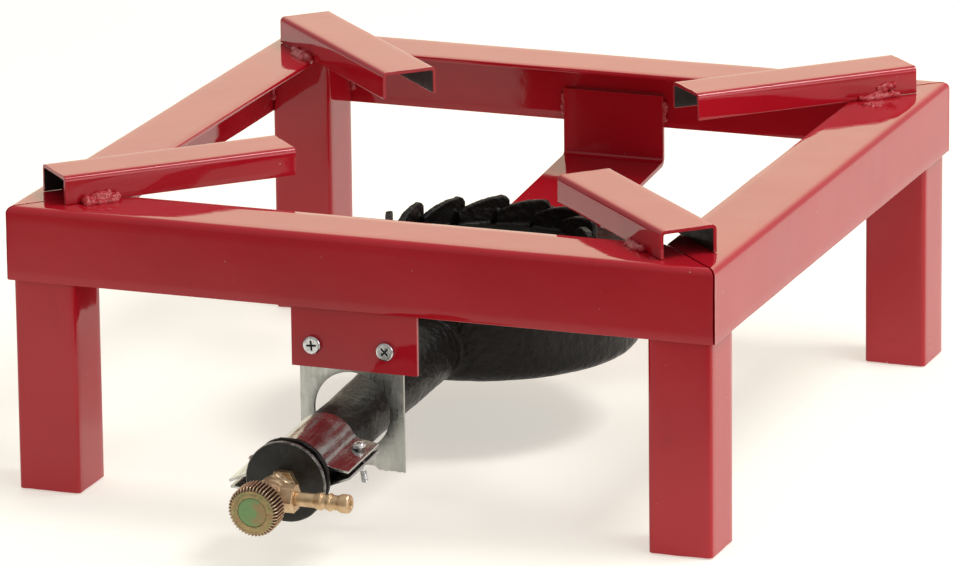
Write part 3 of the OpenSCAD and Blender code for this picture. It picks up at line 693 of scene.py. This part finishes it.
def build_legs():
    wall, r = 2.5 * MM, 3 * MM
    for name in ("front_left", "front_right", "rear_left", "rear_right"):
        low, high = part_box(f"leg_{name}")
        cx, cy = (low.x + high.x) / 2, (low.y + high.y) / 2
        half = (high.x - low.x) / 2

        outer, inner = rounded_square(half, r), rounded_square(half - wall, r - wall + 0.01 * MM)
        n, levels = len(outer), even(44, high.z - low.z)
        verts = []
        for points in (outer, inner):
            for t in levels:
                for u, v in points:
                    cut = saw(u, v, 50 + cx * 9 + cy * 5) if t == 0 else 0
                    verts.append((cx + u, cy + v, low.z + (high.z - low.z) * t + cut))
        far = n * len(levels)
        faces = tube_faces(n, len(levels)) + tube_faces(n, len(levels), far)
        for end in (0, far - n):
            faces += bridge(n, end, far + end)
        mesh = mesh_of(verts, faces)
        wavy(mesh, 0.08 * MM)
        obj = piece(f"leg_{name}_tube", mesh, paint, "stand", (f"leg_{name}",))
        edge_round(obj, 0.3 * MM, 50)


def blob_chain(bm, points, radius, rng):
    """A row of overlapping lumps along a line of points."""
    for p in points:
        r = radius * rng.uniform(0.78, 1.15)
        jitter = Vector([rng.uniform(-0.22, 0.22) * radius for _ in range(3)])
        m = Matrix.Translation(Vector(p) + jitter) @ Matrix.Diagonal((r, r, r, 1))
        bmesh.ops.create_icosphere(bm, subdivisions=2, radius=1, matrix=m)


def line_points(a, b, step):
    """Points from a to b, about a step apart."""
    a, b = Vector(a), Vector(b)
    n = max(1, round((b - a).length / step))
    return [a.lerp(b, i / n) for i in range(n + 1)]


def weld_piece(name, bm, replaces, voxel=0.65 * MM):
    mesh = remesh(bm, voxel)
    relax(mesh, 2)
    roughen(mesh, noise_a, [(2.6 * MM, 0.34 * MM), (1.2 * MM, 0.12 * MM)])
    return piece(name, mesh, weld_paint, "stand", replaces, sharp=80)


def build_welds(lines):
    rng = random.Random(5)
    bm = bmesh.new()
    # (side, from, to, lump radius, reach out from the wall, lift at the start, lift at the end), mm
    beads = {
        "front_left": [(1, 257, 276, 3.3, 1.6, 1.6, 2.2), (1, 258, 277, 2.8, 5.2, 0.2, 0.4),
                       (1, 262, 272, 2.2, 0.6, 4.4, 4.0), (-1, 249, 275, 2.9, 0.8, 1.0, 1.2)],
        "rear_right": [(-1, 250, 275, 2.6, 0.8, 0.9, 1.0), (-1, 256, 273, 2.2, 0.1, 1.6, 7.4),
                       (-1, 262, 268, 1.8, 0.2, 6.2, 7.8), (-1, 247, 259, 2.3, 11.0, -0.6, -0.6),
                       (-1, 250, 256, 2.0, 15.0, -0.8, -0.8), (1, 249, 277, 2.9, 0.8, 1.0, 1.0)],
        "rear_left": [(1, 237, 262, 2.9, 1.6, 0.8, 1.6), (1, 243, 256, 2.3, 4.6, 0, 0),
                      (-1, 246, 272, 2.8, 0.8, 1.0, 1.0)],
        "front_right": [(-1, 249, 268, 2.7, 0.8, 0.8, 1.2), (-1, 252, 262, 2.2, 3.6, 0, 0.2),
                        (1, 248, 274, 2.9, 0.8, 1.0, 1.0)],
    }
    for name, (out, side, middle, width, bottom) in lines.items():
        for sign, d0, d1, radius, reach, z0, z1 in beads[name]:
            across = middle + sign * (width / 2 + reach * MM)
            ends = []
            for d, z in ((d0, z0), (d1, z1)):
                x, y = d * MM * out + across * side
                ends.append((x, y + centre_y, bottom + z * MM))
            blob_chain(bm, line_points(*ends, radius * 1.15 * MM), radius * MM, rng)
    weld_piece("support_weld_beads", bm, ("support_welds",))

    bm = bmesh.new()
    low, high = corners("frame_welds")
    for name in ("front_left", "front_right", "rear_left", "rear_right"):
        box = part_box(f"leg_{name}")
        # the leg's faces towards the stand's middle and away from it, 1 mm inwards
        sx = 1 if box[0].x > 0 else -1
        sy = 1 if box[0].y > centre_y else -1
        inner_x, outer_x = (box[k].x - sx * MM for k in ((0, 1) if sx > 0 else (1, 0)))
        inner_y, outer_y = (box[k].y - sy * MM for k in ((0, 1) if sy > 0 else (1, 0)))
        for x, y in ((inner_x, outer_y), (outer_x, inner_y)):
            bead = line_points((x, y, low[2] + 4 * MM), (x, y, high[2] - 5 * MM), 3.4 * MM)
            blob_chain(bm, bead, 2.4 * MM, rng)
    weld_piece("leg_weld_beads", bm, ("frame_welds",), 0.8 * MM)

    bm = bmesh.new()
    rear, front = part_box("rear_hanger"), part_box("front_hanger")
    # hanger, the bead's y, its lower and upper end, the step from lump to lump, the lumps' radius
    beads = ((rear, rear[1].y - 1.2 * MM, 138 * MM, 149.5 * MM, 2.2 * MM, 2.2 * MM),
             (front, front[0].y + 1.2 * MM, 142 * MM, 164 * MM, 2.4 * MM, 2.0 * MM))
    for end, sign in ((0, -1), (1, 1)):
        for box, y, bottom, top, step, radius in beads:
            x = box[end].x + sign * 0.5 * MM
            blob_chain(bm, line_points((x, y, bottom), (x, y, top), step), radius, rng)
    weld_piece("hanger_weld_beads", bm, ("hanger_welds",), 0.6 * MM)


def build_hangers():
    """Plates with rounder edges than the other flat parts."""
    for node in ("front_hanger", "rear_hanger"):
        obj = machined(f"{node}_plate", node, paint, "stand", 0.5 * MM)
        obj.modifiers["edge"].segments = 3


# ---------- burner
def build_burner():
    """Castings, remeshed and roughened, and the bolts that hold them."""
    mesh = remesh(cad_copy("burner_pan"), 1.15 * MM)
    relax(mesh, 3)
    waves = [(22 * MM, 0.35 * MM), (6 * MM, 0.16 * MM), (2.6 * MM, 0.08 * MM)]
    roughen(mesh, noise_a, waves, inward=0.1 * MM)
    piece("burner_pan_casting", mesh, iron, "stand", ("burner_pan",), sharp=75)

    mesh = remesh(cad_copy("burner_crown"), 0.85 * MM)
    relax(mesh, 5)
    waves = [(16 * MM, 0.35 * MM), (5 * MM, 0.22 * MM), (2.2 * MM, 0.10 * MM)]
    roughen(mesh, noise_b, waves, inward=0.05 * MM)
    piece("burner_crown_casting", mesh, iron, "stand", ("burner_crown",), sharp=80)

    for node in ("crown_bolt", "crown_washer", "tongue_bolt", "tongue_nut"):
        machined(f"{node}_steel", node, steel, "stand", 0.3 * MM)


# ---------- threads and turned parts
def thread(radius, pitch, depth, length, matrix, sides, start=0.0):
    """Verts and faces of a threaded rod from z = start over length, closed at both ends."""
    rows = max(4, int(length / pitch * 8))
    verts = []
    for j in range(rows + 1):
        z = length * j / rows
        fade = min(1, z / pitch, (length - z) / pitch)
        for i in range(sides):
            a = 2 * math.pi * i / sides
            tooth = abs(2 * ((z / pitch - i / sides) % 1) - 1)
            tooth = min(1, max(0, (tooth - 0.12) / 0.76))
            r = radius - depth * (1 - fade * tooth)
            verts.append(matrix @ Vector((r * math.cos(a), r * math.sin(a), start + z)))
    caps = [tuple(reversed(range(sides))), tuple(rows * sides + i for i in range(sides))]
    return verts, tube_faces(sides, rows + 1) + caps


def lathe(profile, matrix, sides):
    """Turns (radius, z) points about +Z of the matrix. Points on the axis become one vertex."""
    verts, rings, faces = [], [], []
    for r, z in profile:
        if r < 1e-7:
            rings.append([len(verts)])
            verts.append(matrix @ Vector((0, 0, z)))
        else:
            rings.append(list(range(len(verts), len(verts) + sides)))
            turns = [2 * math.pi * i / sides for i in range(sides)]
            verts += [matrix @ Vector((r * math.cos(a), r * math.sin(a), z)) for a in turns]
    pairs = list(zip(rings, rings[1:]))
    if len(rings[0]) > 1 and len(rings[-1]) > 1:
        pairs.append((rings[-1], rings[0]))
    for a, b in pairs:
        for i in range(sides):
            k = (i + 1) % sides
            face = [a[i % len(a)], a[k % len(a)], b[k % len(b)], b[i % len(b)]]
            face = [v for n, v in enumerate(face) if v not in face[:n]]
            if len(face) > 2:
                faces.append(tuple(face))
    return verts, faces


def smooth_profile(points, turn):
    """Rounds the corners of an open (radius, z) profile with short arcs."""
    out = [points[0]]
    for a, b, c in zip(points, points[1:], points[2:]):
        ab, bc = math.dist(a, b), math.dist(b, c)
        cut = min(turn, ab * 0.45, bc * 0.45)
        p = tuple(b[i] + (a[i] - b[i]) * cut / ab for i in (0, 1))
        q = tuple(b[i] + (c[i] - b[i]) * cut / bc for i in (0, 1))
        for t in (0, 0.25, 0.5, 0.75, 1):
            out.append(tuple((1 - t) ** 2 * p[i] + 2 * t * (1 - t) * b[i] + t * t * q[i] for i in (0, 1)))
    return out + [points[-1]]


def screw_piece(name, node, inwards, head_depth, shank_r, pitch):
    """Screws from the CAD heads, remeshed for soft edges, with threaded shanks."""
    heads = [axis_fit(group, inwards) for group in islands(node)]
    bm = cad_copy(node)
    bmesh.ops.recalc_face_normals(bm, faces=bm.faces)
    mesh = remesh(bm, 0.22 * MM)
    relax(mesh, 2)
    co = mesh_points(mesh)
    shafts = []
    for origin, axis, length in heads:
        rel = co - origin
        z = rel @ axis
        flat = rel - z[:, None] * axis
        # the CAD's plain shank shrinks to inside the thread
        shank = (z > head_depth + 0.3 * MM) & (np.linalg.norm(flat, axis=1) < shank_r * 1.4)
        co[shank] -= flat[shank] * 0.30
        m = Vector(axis).to_track_quat("Z", "Y").to_matrix().to_4x4()
        m.translation = Vector(origin)
        rod = thread(shank_r, pitch, pitch * 0.55, length - head_depth - 0.1 * MM, m, 24, head_depth)
        shafts.append(mesh_of(*rod))
    set_points(mesh, co)
    mesh = joined([mesh, *shafts], name)
    obj = piece(name, mesh, bright, "stand", (node,), sharp=50)
    # painted shade: a dark material in the heads' cross recesses, where shade falls
    obj.data.materials.append(recess_shade)
    for polygon in obj.data.polygons:
        for origin, axis, _ in heads:
            rel = np.array(polygon.center) - origin
            z = rel @ axis
            if 0.3 * MM < z < head_depth - 0.4 * MM and np.linalg.norm(rel - z * axis) < shank_r * 1.35:
                polygon.material_index = 1


def islands(name):
    """Point sets of a CAD node's separate solids."""
    bm = cad_copy(name)
    seen, groups = set(), []
    for first in bm.verts:
        if first in seen:
            continue
        stack, group = [first], []
        seen.add(first)
        while stack:
            vert = stack.pop()
            group.append(tuple(vert.co))
            for edge in vert.link_edges:
                other = edge.other_vert(vert)
                if other not in seen:
                    seen.add(other)
                    stack.append(other)
        groups.append(np.array(group))
    bm.free()
    return groups


def axis_fit(points, axis):
    """The end point and length of a turned solid along a known axis."""
    axis = np.array(axis) / np.linalg.norm(axis)
    z = points @ axis
    far = points[z > z.max() - 0.05 * MM]
    middle = far.mean(0)
    middle = middle - axis * (middle @ axis)
    return middle + axis * z.min(), axis, z.max() - z.min()


def build_plate():
    """The tube plate: a sheet with a round hole, a stepped lower edge and edges as the shears left them."""
    low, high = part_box("tube_plate")
    points = cad_points("tube_plate")
    across, height = points[:, 0], points[:, 2]
    bottom, left_bottom = low.z, height[across < low.x + 0.2 * MM].min()
    cx = (low.x + high.x) / 2
    # the hole's own points lie away from the sheet's edges and below the screws
    below_screws = 93.5 * MM
    hole = height[(height > bottom + 6 * MM) & (height < below_screws)
                  & (across > low.x + 4 * MM) & (across < high.x - 4 * MM)]
    hole_z, hole_r = (hole.min() + hole.max()) / 2, (hole.max() - hole.min()) / 2
    step_x = cx + 15.3 * MM
    rng = random.Random(8)

    # lower edge, right edge, top, left edge
    outline = []
    for i in range(47):
        x = low.x + 0.2 * MM + (high.x - low.x - 0.4 * MM) * i / 46
        rise = 1 / (1 + math.exp((x - step_x) / (0.9 * MM)))
        z = bottom + 0.25 * MM + (left_bottom - bottom) * rise
        z += (0.35 + rng.uniform(-0.3, 0.45)) * MM if x > step_x - 2 * MM else rng.uniform(0, 0.25) * MM
        outline.append((x, z))
    outline += [(high.x - 0.15 * MM - rng.uniform(0, 0.12) * MM,
                 bottom + 1 * MM + (high.z - bottom - 1.2 * MM) * i / 24) for i in range(1, 25)]
    outline += [(high.x - (high.x - low.x) * i / 13, high.z - 0.15 * MM) for i in range(1, 13)]
    outline += [(low.x + 0.15 * MM + rng.uniform(0, 0.12) * MM,
                 high.z - 0.5 * MM - (high.z - left_bottom - 1.5 * MM) * i / 23) for i in range(24)]

    curve = bpy.data.curves.new("plate", "CURVE")
    curve.dimensions = "2D"
    curve.fill_mode = "BOTH"
    thick = high.y - low.y
    curve.bevel_depth = 0.16 * MM
    curve.bevel_resolution = 2
    curve.extrude = thick / 2 - curve.bevel_depth
    curve.offset = -curve.bevel_depth
    turns = [2 * math.pi * i / 110 for i in range(110)]
    ring = [(cx + hole_r * math.cos(a), hole_z + hole_r * math.sin(a)) for a in turns]
    for loop in (outline, ring):
        spline = curve.splines.new("POLY")
        spline.points.add(len(loop) - 1)
        for point, (x, z) in zip(spline.points, loop):
            point.co = (x, z, 0, 1)
        spline.use_cyclic_u = True
    mesh = evaluated(add_object("plate", curve))
    # the curve lies in its own XY plane: stand it up
    mesh.transform(Matrix(((1, 0, 0, 0), (0, 0, -1, (low.y + high.y) / 2), (0, 1, 0, 0), (0, 0, 0, 1))))
    bm = bmesh.new()
    bm.from_mesh(mesh)
    bmesh.ops.remove_doubles(bm, verts=bm.verts, dist=1e-6)
    bmesh.ops.recalc_face_normals(bm, faces=bm.faces)
    bm.to_mesh(mesh)
    bm.free()
    piece("tube_plate_sheet", mesh, zinc, "stand", ("tube_plate",), sharp=35)


def build_clamp():
    """Both halves as bent strips: the outline is followed from the CAD section at the clamp's front end."""
    s0, s1 = station("clamp_saddle")
    t = 1.5 * MM
    for node, path in clamp_fit().items():
        centre = round_path(path, 5)
        left, right = offset_path(centre, t / 2), offset_path(centre, -t / 2)
        section = left + right[::-1]

        def at(u, v, k):
            s = s0 + 0.25 * MM + (s1 - s0 - 0.5 * MM) * k
            wobble = 0.14 * MM * float(noise_a(np.array([[u, v, s]]), 11 * MM)[0])
            end = 0.3 * MM * float(noise_b(np.array([[u, v, k * 3.0]]), 8 * MM)[0]) if k in (0, 1) else 0
            return tube_matrix(s + end) @ Vector((u, v + wobble, 0))

        mesh = mesh_of(*sweep(section, even(30, s1 - s0), at))
        obj = piece(f"{node}_strip", mesh, clamp_zinc, "stand", (node,), sharp=45)
        edge_round(obj, 0.22 * MM, 50)


def clamp_fit():
    """The clamp's centre lines, in the tube's cross-section, from the CAD parts themselves."""
    inverse = tube_matrix(0).inverted()
    tube_r, half_wall = 18.45 * MM, 0.75 * MM
    r = tube_r + half_wall
    # where each half leaves the tube, in degrees from the clamp's own sideways
    fold = {"clamp_saddle": (9, 171), "clamp_cradle": (-28, -140)}
    steps, inset = 30, 0.9 * MM
    out = {}
    for node, (a, b) in fold.items():
        angles = [math.radians(a + (b - a) * i / steps) + clamp_tilt for i in range(steps + 1)]
        bend = [(math.cos(angle) * r, math.sin(angle) * r) for angle in angles]
        flat = np.array([(inverse @ Vector(p)).xy for p in cad_points(node)])
        right, left = flat[flat[:, 0].argmax()], flat[flat[:, 0].argmin()]
        right, left = toward(right, bend[0], inset), toward(left, bend[-1], inset)
        out[node] = subdivide(right, bend[0], 6) + bend[1:-1] + subdivide(bend[-1], left, 8)
    return out


def toward(p, q, d):
    """The point at distance d from p on the way to q."""
    p, q = Vector(p), Vector(q)
    return tuple(p + (q - p).normalized() * d)


def round_path(path, rounds):
    """Softens the folds of a centre line by averaging near them."""
    pts = np.array(path, float)
    for _ in range(rounds):
        mid = (pts[:-2] + 2 * pts[1:-1] + pts[2:]) / 4
        turn = np.linalg.norm(pts[:-2] - 2 * pts[1:-1] + pts[2:], axis=1)
        sharp = turn > 0.35 * MM
        near = sharp | np.roll(sharp, 1) | np.roll(sharp, -1)
        pts[1:-1][near] = mid[near]
    return [tuple(p) for p in pts]


def offset_path(path, d):
    """A line beside the path, d to its left."""
    pts = np.array(path, float)
    tangent = np.gradient(pts, axis=0)
    tangent /= np.linalg.norm(tangent, axis=1)[:, None]
    normal = np.stack([-tangent[:, 1], tangent[:, 0]], 1)
    return [tuple(p) for p in pts + d * normal]


def build_fasteners():
    screw_piece("plate_screw_pair", "plate_screws", (0, 1, 0), 3 * MM, 2.5 * MM, 0.8 * MM)
    down = -(tube_up * math.cos(clamp_tilt) - Vector((1, 0, 0)) * math.sin(clamp_tilt))
    screw_piece("clamp_screw_pair", "clamp_screws", tuple(down), 2.6 * MM, 2 * MM, 0.7 * MM)
    for node in ("plate_nuts", "clamp_nuts"):
        machined(f"{node}_pair", node, bright, "stand", 0.3 * MM)


# ---------- shutter and valve
def build_shutter():
    """The disc: turned, with a worn rim that is partly a painted highlight, and a shallow groove in its face.
    """
    s0, s1 = station("air_shutter")
    r = cad_radius("air_shutter")
    thick = s1 - s0
    bore = 6.05 * MM
    e = 0.8 * MM
    profile = [(bore, 0), (r - 0.5 * MM, 0), (r - 0.2 * MM, 0.15 * MM), (r - 0.05 * MM, 0.5 * MM),
               (r - 0.05 * MM, thick - e)]
    profile += [(r - e + e * math.cos(math.radians(a)), thick - e + e * math.sin(math.radians(a)))
                for a in (25, 50, 75, 90)]
    profile += [(r - 3.4 * MM, thick - 0.02 * MM), (r - 4.2 * MM, thick - 0.22 * MM),
                (bore + 8 * MM, thick - 0.25 * MM), (bore + 7 * MM, thick - 0.02 * MM),
                (bore, thick - 0.02 * MM)]
    sides = 96
    mesh = mesh_of(*lathe(profile, tube_matrix(s0), sides))
    obj = piece("air_shutter_disc", mesh, satin, "air_shutter", ("air_shutter",), sharp=40)
    # the rim's outer rows get the lighter edge material: partly wear, partly a painted highlight
    rim = [k for k, (out, _) in enumerate(profile[1:]) if out > r - 0.75 * MM]
    tint(obj, [worn_edge_and_highlight], [int(k // sides in rim[3:]) for k in range(len(mesh.polygons))])


def build_valve():
    # body: forged, so every edge is soft; its nose carries the shutter's thread
    mesh = remesh(cad_copy("valve_body"), 0.33 * MM)
    relax(mesh, 3)
    co = mesh_points(mesh)
    inverse = np.array(tube_matrix(0).inverted())
    local = co @ inverse[:3, :3].T + inverse[:3, 3]
    nose0, nose1 = station("valve_body")[0], station("shutter_lock_nut")[1] + 3.9 * MM
    rad = np.linalg.norm(local[:, :2], axis=1)
    # the nose is thinned to the thread's core
    nose = (local[:, 2] < nose1) & (local[:, 2] > nose0 + 0.4 * MM) & (rad > 4.5 * MM)
    thinner = np.where(nose, np.minimum((5.2 * MM) / np.maximum(rad, 1e-6), 1), 1.0)
    local[:, :2] *= thinner[:, None]
    forward = np.array(tube_matrix(0))
    set_points(mesh, local @ forward[:3, :3].T + forward[:3, 3])
    roughen(mesh, noise_a, [(5 * MM, 0.10 * MM), (1.6 * MM, 0.03 * MM)])
    rod = thread(5.98 * MM, 1.5 * MM, 0.72 * MM, nose1 - nose0 - 0.8 * MM,
                 tube_matrix(nose0 + 0.5 * MM), 40)
    mesh = joined([mesh, mesh_of(*rod)], "valve_body_brass")
    piece("valve_body_brass", mesh, forged, "stand", ("valve_body",), sharp=60)

    # barb: turned, with two rings and an end bead
    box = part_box("hose_barb")
    middle = (box[0] + box[1]) / 2
    tip = box[1].x
    m = Matrix(((0, 0, 1, tip), (0, 1, 0, middle.y), (-1, 0, 0, middle.z), (0, 0, 0, 1)))
    bead = (box[1].z - box[0].z) / 2 / MM
    # (radius, distance from the tip), mm
    raw = [(2.3, -39.5), (4.0, -39.5), (4.0, -34.0), (4.15, -33.8), (4.15, -22.0), (4.6, -21.4),
           (5.35, -18.4), (5.35, -17.5), (4.35, -17.1), (4.35, -14.9), (5.4, -12.8), (5.4, -11.9),
           (4.45, -11.4), (4.45, -7.9), (bead - 0.25, -6.1), (bead, -5.2), (bead, -1.4),
           (bead - 0.5, -0.4), (bead - 1.4, 0), (2.6, 0), (2.3, -0.5)]
    profile = smooth_profile([(a * MM, b * MM) for a, b in raw], 0.45 * MM)
    barb = mesh_of(*lathe(profile, m, 64))
    piece("hose_barb_brass", barb, brass, "stand", ("hose_barb",), sharp=60)

    for node, body, width in (("packing_nut", "stand", 0.35 * MM), ("gas_injector", "stand", 0.15 * MM),
                              ("shutter_lock_nut", "shutter_lock", 0.4 * MM),
                              ("valve_stem", "valve_stem", 0.1 * MM)):
        machined(f"{node}_brass", node, brass, body, width)


def cad_radius(name):
    """Largest distance of a CAD node from the tube's axis."""
    inverse = tube_matrix(0).inverted()
    return max((inverse @ Vector(p)).xy.length for p in cad_points(name))


def build_knob():
    """The ribbed knob and the disc in its face."""
    s0, s1 = station("hand_knob")
    c0, c1 = station("knob_cap")
    cap = cad_radius("knob_cap")
    r = cad_radius("hand_knob")
    depth = s1 - s0
    ribs, per = 44, 12
    sides = ribs * per
    rib_h = 1.6 * MM
    root, rim, recess = (r - rib_h) / MM, depth / MM, (cap + 0.1 * MM) / MM
    # (radius, z, share of the rib) from the back bore round to the recess in the face
    rows = [(3.3, 0.15, 0), (root - 2.4, 0.1, 0), (root - 1.3, 0.35, 0), (root - 0.5, 0.95, 0.1),
            (root - 0.05, 1.5, 0.75), (root, 2.1, 1), (root, 4.5, 1), (root, 7.0, 1), (root, 9.5, 1),
            (root, rim - 3.0, 1), (root, rim - 1.9, 0.95), (root - 0.05, rim - 1.1, 0.8),
            (root - 0.25, rim - 0.5, 0.5), (root - 0.7, rim - 0.12, 0.12)]
    ribbed = len(rows) - 1
    rows += [(root - 1.2, rim, 0), (root - 1.7, rim - 0.04, 0), (root - 2.0, rim - 0.20, 0),
             (root - 2.4, rim - 0.06, 0), (recess + 1.6, rim - 0.02, 0), (recess + 0.7, rim - 0.05, 0),
             (recess + 0.25, rim - 0.02, 0), (recess, rim - 0.15, 0), (recess, (c0 - s0) / MM + 0.02, 0),
             (3.4, (c0 - s0) / MM - 0.02, 0)]
    m = tube_matrix(s0)
    verts = []
    for rr, z, share in rows:
        for i in range(sides):
            a = 2 * math.pi * i / sides
            swell = (0.5 - 0.5 * math.cos(2 * math.pi * (i % per) / per)) ** 1.15
            radius = rr * MM + share * rib_h * swell
            verts.append(m @ Vector((radius * math.cos(a), radius * math.sin(a), z * MM)))
    # materials by face: 0 gold, 1 rib tips, lighter as a painted highlight, 2 rib sides and the back face,
    # darker as painted shade, 3 gaps, near black as painted shade
    rib_shading = [(3, 3, 3, 2, 1, 1)[min(i % per, per - 1 - i % per)] for i in range(sides)]
    face_shading = 3 * sides * [2] + (ribbed - 3) * rib_shading + (len(rows) - 1 - ribbed) * sides * [0] + [2, 0]
    mesh = mesh_of(verts, rod_faces(sides, len(rows)))
    hidden = ("hand_knob", "knob_screw")
    obj = piece("hand_knob_ribbed", mesh, gold, "hand_knob", hidden, sharp=75)
    tint(obj, (rib_tip_highlight, rib_side_shade, rib_gap_shade), face_shading)

    h, rc = (c1 - c0) / MM, cap / MM
    rows = [(rc, 0.0), (rc, h - 0.25), (rc - 0.2, h - 0.05), (rc - 0.8, h), (rc * 0.6, h - 0.02),
            (rc * 0.4, h - 0.06), (0, h - 0.08)]
    disc = mesh_of(*lathe([(0, 0)] + [(a * MM, b * MM) for a, b in rows], tube_matrix(c0), 64))
    piece("knob_cap_disc", disc, green, "hand_knob", ("knob_cap",), sharp=50)


# ---------- studio
def add_sky(scene):
    """A pale room: brighter behind the camera's left, and above on the right."""
    world = bpy.data.worlds.new("studio")
    scene.world = world
    world.use_nodes = True
    sky = Nodes(world.node_tree)
    coords = sky.node("ShaderNodeTexCoord", {}).outputs["Generated"]

    def lobe(direction, low, high, amount):
        """A soft bright area of the studio wall round one direction."""
        inputs = {0: coords, 1: Vector(direction).normalized()}
        dot = sky.node("ShaderNodeVectorMath", inputs, operation="DOT_PRODUCT").outputs["Value"]
        return sky.span(dot, low, high, 0, amount, "SMOOTHSTEP")

    glow = lobe((-0.339, 0.9, 0.274), 0.80, 0.985, 0.90)
    overhead = lobe((0.6, 0.3, 0.75), -1.0, 1.0, 0.30)
    back = sky.tree.nodes["Background"]
    sky.put(back.inputs["Color"], sky.mix(glow, rgb(1.0, 0.985, 0.95), rgb(1.0, 0.95, 0.70)))
    sky.put(back.inputs["Strength"], sky.math("ADD", sky.math("ADD", overhead, 0.40), glow))


def add_softbox(name, at, size, power):
    """A rectangular light that looks at the burner."""
    data = bpy.data.lights.new(name, "AREA")
    data.shape = "RECTANGLE"
    data.size, data.size_y = size
    data.energy = power
    obj = add_object(name, data)
    aim = (Vector((0, centre_y, 0.1)) - Vector(at)).normalized()
    obj.matrix_world = aim.to_track_quat("-Z", "Y").to_matrix().to_4x4()
    obj.matrix_world.translation = Vector(at)


def add_floor():
    """A pale floor that glows a little and darkens behind the stand."""
    look = Look("pale_floor")
    colour = look.mix(look.noise(0.4, 2), rgb(0.61, 0.595, 0.545), rgb(0.64, 0.625, 0.57))
    split = look.node("ShaderNodeSeparateXYZ", {0: look.coords})
    ahead = look.math("SUBTRACT", look.math("MULTIPLY", split.outputs[0], 0.35), split.outputs[1])
    fade = look.span(ahead, 0.30, 0.74, 0.0, 0.78, "SMOOTHSTEP")
    glow = look.math("MULTIPLY", look.math("SUBTRACT", 1.0, fade), 0.50)
    colour = look.mix(fade, colour, rgb(0.03, 0.03, 0.03))
    bm = bmesh.new()
    bmesh.ops.create_grid(bm, x_segments=8, y_segments=8, size=14)
    mesh = to_mesh(bm, "floor")
    mesh.materials.append(look.finish(Base_Color=colour, Roughness=0.9, Specular_IOR_Level=0.1,
                                      Emission_Color=rgb(1.0, 0.97, 0.89), Emission_Strength=glow))
    floor = add_object("floor", mesh)
    floor.location.z = -0.4 * MM


def studio():
    scene = bpy.context.scene
    scene.view_settings.view_transform = "Standard"
    scene.view_settings.look = "None"
    add_sky(scene)
    add_softbox("key", (1.45, 0.35, 2.7), (1.05, 1.05), 46)
    add_softbox("side", (2.4, -1.0, 1.0), (1.2, 1.4), 14)
    add_floor()


studio()
build_rails()
support_lines = build_supports()
build_legs()
build_welds(support_lines)
build_hangers()
build_burner()
build_plate()
build_clamp()
build_fasteners()
build_shutter()
build_valve()
build_knob()
